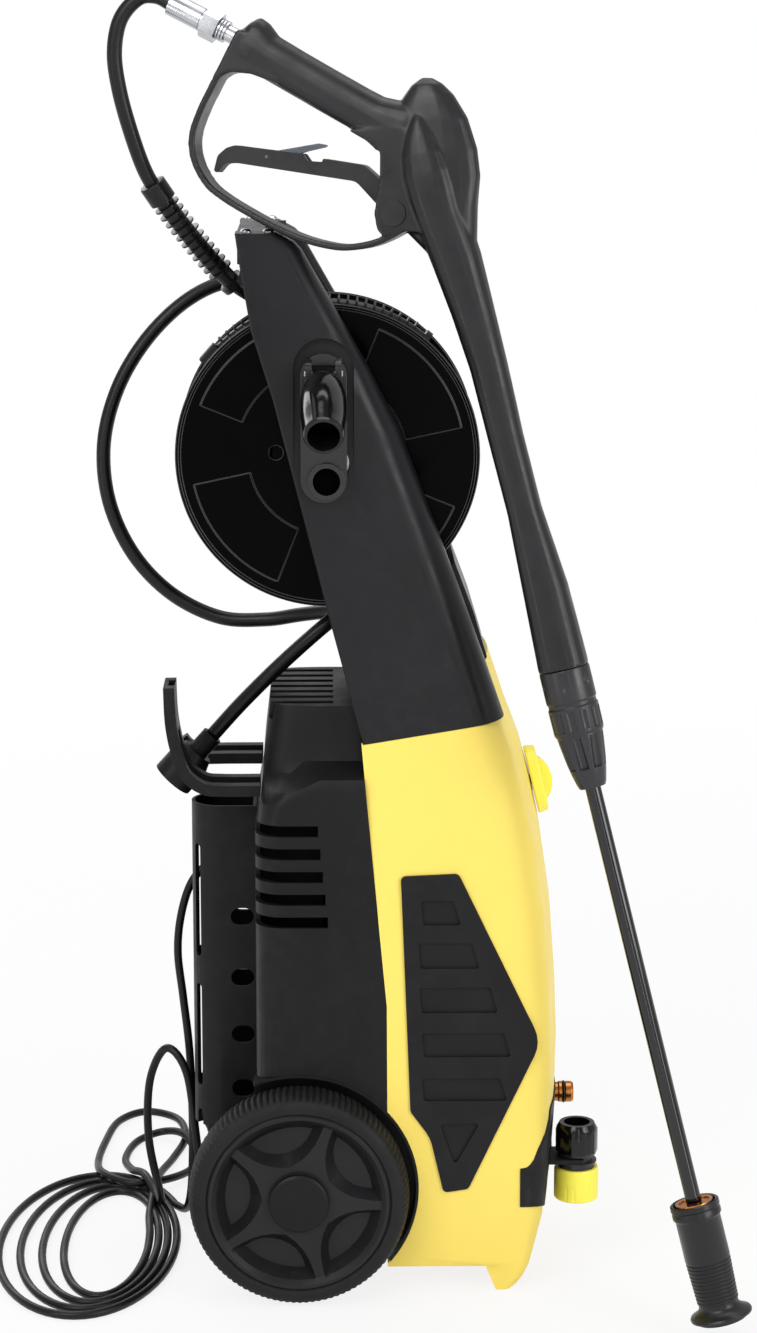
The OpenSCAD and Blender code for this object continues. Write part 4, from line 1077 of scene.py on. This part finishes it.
@dataclass
class SprayGun(SubAssembly):
    """The gun, its casing smoothed where its parts run into each other, and the lance."""

    solids: Solids = carried(
        gun_inlet=(ZINC, Edge.CRISP), trigger=(GUN_BLACK, Edge.MOULDED),
        trigger_pin=(GUN_BLACK, Edge.CRISP), trigger_latch=(LATCH_STEEL, Edge.CRISP),
        lance_collar=(LANCE_GREY, Edge.MOULDED), lance_nut=(LANCE_GREY, Edge.CRISP),
        lance_tube=(TUBE_BLACK, Edge.CRISP), nozzle_jet=(BRASS, Edge.CRISP))
    voxel: float = 0.0011           # size of the casing's facets
    muzzle_down: Vector = field(default_factory=lambda: Vector((0.23890122, -0.11166502, -0.96460206)))
    on_lance: Vector = field(default_factory=lambda: Vector((0.0388485, -0.1504266, 0.5284536)))
    grip_end_mm: float = 530.5      # the grip's lower end, in its outline's measure
    rings_mm: tuple[float, float] = (481.0, 513.0)  # where the fine rings start and end
    ring_pitch_mm: float = 3.1
    copper_mm: tuple[float, float] = (435.0, 15.5)  # lower end and radius of the copper ring

    def casing(self) -> None:
        """Builds the casing from both halves, smoothed where its parts meet."""
        work = bmesh.new()
        for node in ("gun_right_half", "gun_left_half"):
            work.from_mesh(frame["nodes"][node].data)
        bmesh.ops.remove_doubles(work, verts=work.verts, dist=SAME_SPOT)
        piece = publish("gun_casing_piece", mesh_of("gun_casing_piece", work), GUN_BLACK)
        remesh = piece.modifiers.new("one_skin", "REMESH")
        remesh.mode = "VOXEL"
        remesh.voxel_size = self.voxel
        smooth = piece.modifiers.new("blend", "SMOOTH")
        smooth.factor = 0.5
        smooth.iterations = 9
        settle(piece)
        for face in piece.data.polygons:
            face.use_smooth = True
        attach(piece, "gun")
        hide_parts("gun_right_half", "gun_left_half")
        LOG.info("gun casing with %d faces", len(piece.data.polygons))

    def nozzle(self) -> None:
        """Turns the nozzle's grip, with fine rings round its waist and a copper ring in its top."""
        along = self.muzzle_down.normalized()
        corners = [v.co for v in frame["nodes"]["nozzle_grip"].data.vertices]
        reach = max((c - self.on_lance).dot(along) for c in corners)
        foot = self.on_lance + along * (reach - self.grip_end_mm * MM)
        outline = [(6.3, 433.8), (12.0, 433.8), (12.3, 432.6), (15.0, 432.6), (15.4, 433.6), (15.6, 436.4),
                   (16.6, 436.4), (16.9, 433.6), (18.4, 432.8), (19.5, 433.6), (19.7, 437.4), (18.8, 438.3),
                   (18.8, 439.2), (19.5, 440.4), (19.4, 444.0), (18.3, 445.4), (17.9, 446.2), (18.0, 479.0)]
        start, end = self.rings_mm
        place = start
        while place < end:
            waist = 17.3 - (place - start) / 24.0
            outline += [(waist, place), (waist + 0.6, place + 0.5), (waist + 0.6, place + 1.6),
                        (waist, place + 2.1)]
            place += self.ring_pitch_mm
        outline += [(15.8, 517.0), (16.8, 519.6), (20.6, 522.4), (24.0, 524.0), (24.8, 525.6), (24.3, 527.2),
                    (20.0, 528.2), (19.6, 530.0), (15.0, 530.5), (13.0, 524.0), (13.0, 449.4), (6.3, 449.4)]
        piece = turn("nozzle_grip_piece", outline, foot, along, GUN_BLACK)
        piece.data.materials.append(BRASS.material())
        for face in piece.data.polygons:
            offset = face.center - foot
            down = offset.dot(along)
            if down < self.copper_mm[0] * MM and (offset - along * down).length < self.copper_mm[1] * MM:
                face.material_index = 1
        crease(piece)
        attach(piece, "nozzle")
        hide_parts("nozzle_grip")

    def build(self) -> None:
        """Builds the carried solids, the casing and the nozzle's grip."""
        super().build()
        self.casing()
        self.nozzle()


# ---- studio

@dataclass
class Studio:
    """The floor, the lamps, the world and the camera."""

    camera_at: Vector = field(default_factory=lambda: Vector((-0.1448, -2.590, 1.033)))
    pitch_deg: float = 78.353
    yaw_deg: float = -0.951
    lens_mm: float = 87.2
    floor_size: float = 30.0
    glow_near: float = 0.84         # share of white in the floor near the object
    mirrored: float = 0.25          # share of the white background in mirrors
    room_light: float = 0.42        # level of the soft light

    def camera(self) -> None:
        """Places the camera."""
        data = bpy.data.cameras.new("camera")
        data.lens = self.lens_mm
        data.sensor_width = 36.0
        data.clip_end = 60.0
        eye = enter("camera", data)
        eye.location = self.camera_at
        eye.rotation_euler = (math.radians(self.pitch_deg), 0.0, math.radians(self.yaw_deg))
        bpy.context.scene.camera = eye

    def floor(self) -> None:
        """Lays a wide pale floor that keeps the object's shadow."""
        mesh = bpy.data.meshes.new("floor")
        size = self.floor_size
        mesh.from_pydata([(-size, -size, 0), (size, -size, 0), (size, size, 0), (-size, size, 0)], [],
                         [(0, 1, 2, 3)])
        material = bpy.data.materials.new("pale_floor")
        graph = Graph(material, "OutputMaterial")
        shade = graph.mix(graph.noise(3), (0.86, 0.86, 0.86), (0.90, 0.90, 0.90))
        reach = graph.add("VectorMath", operation="LENGTH", Vector=graph.place)
        share = graph.ramp(reach.outputs["Value"], 0.5, 2.2, self.glow_near, 1.0)
        blend = graph.add("MixShader", Fac=graph.math("MULTIPLY", graph.seen(1.0), share))
        graph.join(graph.add("BsdfDiffuse", Color=shade).outputs[0], blend.inputs[1])
        graph.join(graph.add("Emission", Strength=1.0).outputs[0], blend.inputs[2])
        graph.show(blend)
        mesh.materials.append(material)
        enter("floor", mesh)

    def world(self) -> None:
        """Fills the room with soft light in front of a white background."""
        world = bpy.data.worlds.new("studio")
        bpy.context.scene.world = world
        graph = Graph(world, "OutputWorld")
        level = graph.ramp(graph.seen(self.mirrored), 0.0, 1.0, self.room_light, 1.0)
        graph.show(graph.add("Background", Color=(1.0, 1.0, 1.0, 1.0), Strength=level))

    def lamps(self) -> None:
        """Hangs four softboxes and three narrow strips round the object."""
        aim = Vector((-0.15, 0.0, 0.5))
        for name, at, size, power in (("key", (-1.3, -2.3, 2.3), (1.6, 1.6), 36.0),
                                      ("fill", (2.0, -1.7, 1.2), (1.5, 1.5), 22.0),
                                      ("top", (-0.2, 0.4, 2.8), (1.8, 1.8), 22.0),
                                      ("back", (-1.3, 2.6, 1.9), (1.6, 1.6), 18.0),
                                      ("left_strip", (-1.9, -1.6, 0.9), (0.10, 1.8), 5.0),
                                      ("right_strip", (1.9, -1.9, 0.9), (0.30, 1.9), 9.0),
                                      ("front_strip", (0.45, -3.0, 0.8), (0.10, 2.2), 4.0)):
            data = bpy.data.lights.new(name, "AREA")
            data.shape = "RECTANGLE"
            data.size, data.size_y = size
            data.energy = power
            lamp = enter(name, data)
            lamp.location = at
            lamp.rotation_euler = (aim - lamp.location).to_track_quat("-Z", "Y").to_euler()

    def build(self) -> None:
        """Sets up the whole studio."""
        bpy.context.scene.view_settings.view_transform = "Standard"
        self.camera()
        self.floor()
        self.world()
        self.lamps()
        LOG.info("studio ready")


def main() -> None:
    """Builds the studio and every sub-assembly."""
    logging.basicConfig(level=logging.INFO, format="%(message)s")
    Studio().build()
    for group in (Hoses(), Body(), ArmScrews(), Wheels(), Reel(), Back(), FrontFittings(), SprayGun(),
                  QuickConnector()):
        group.build()


if __name__ == "__main__":
    main()
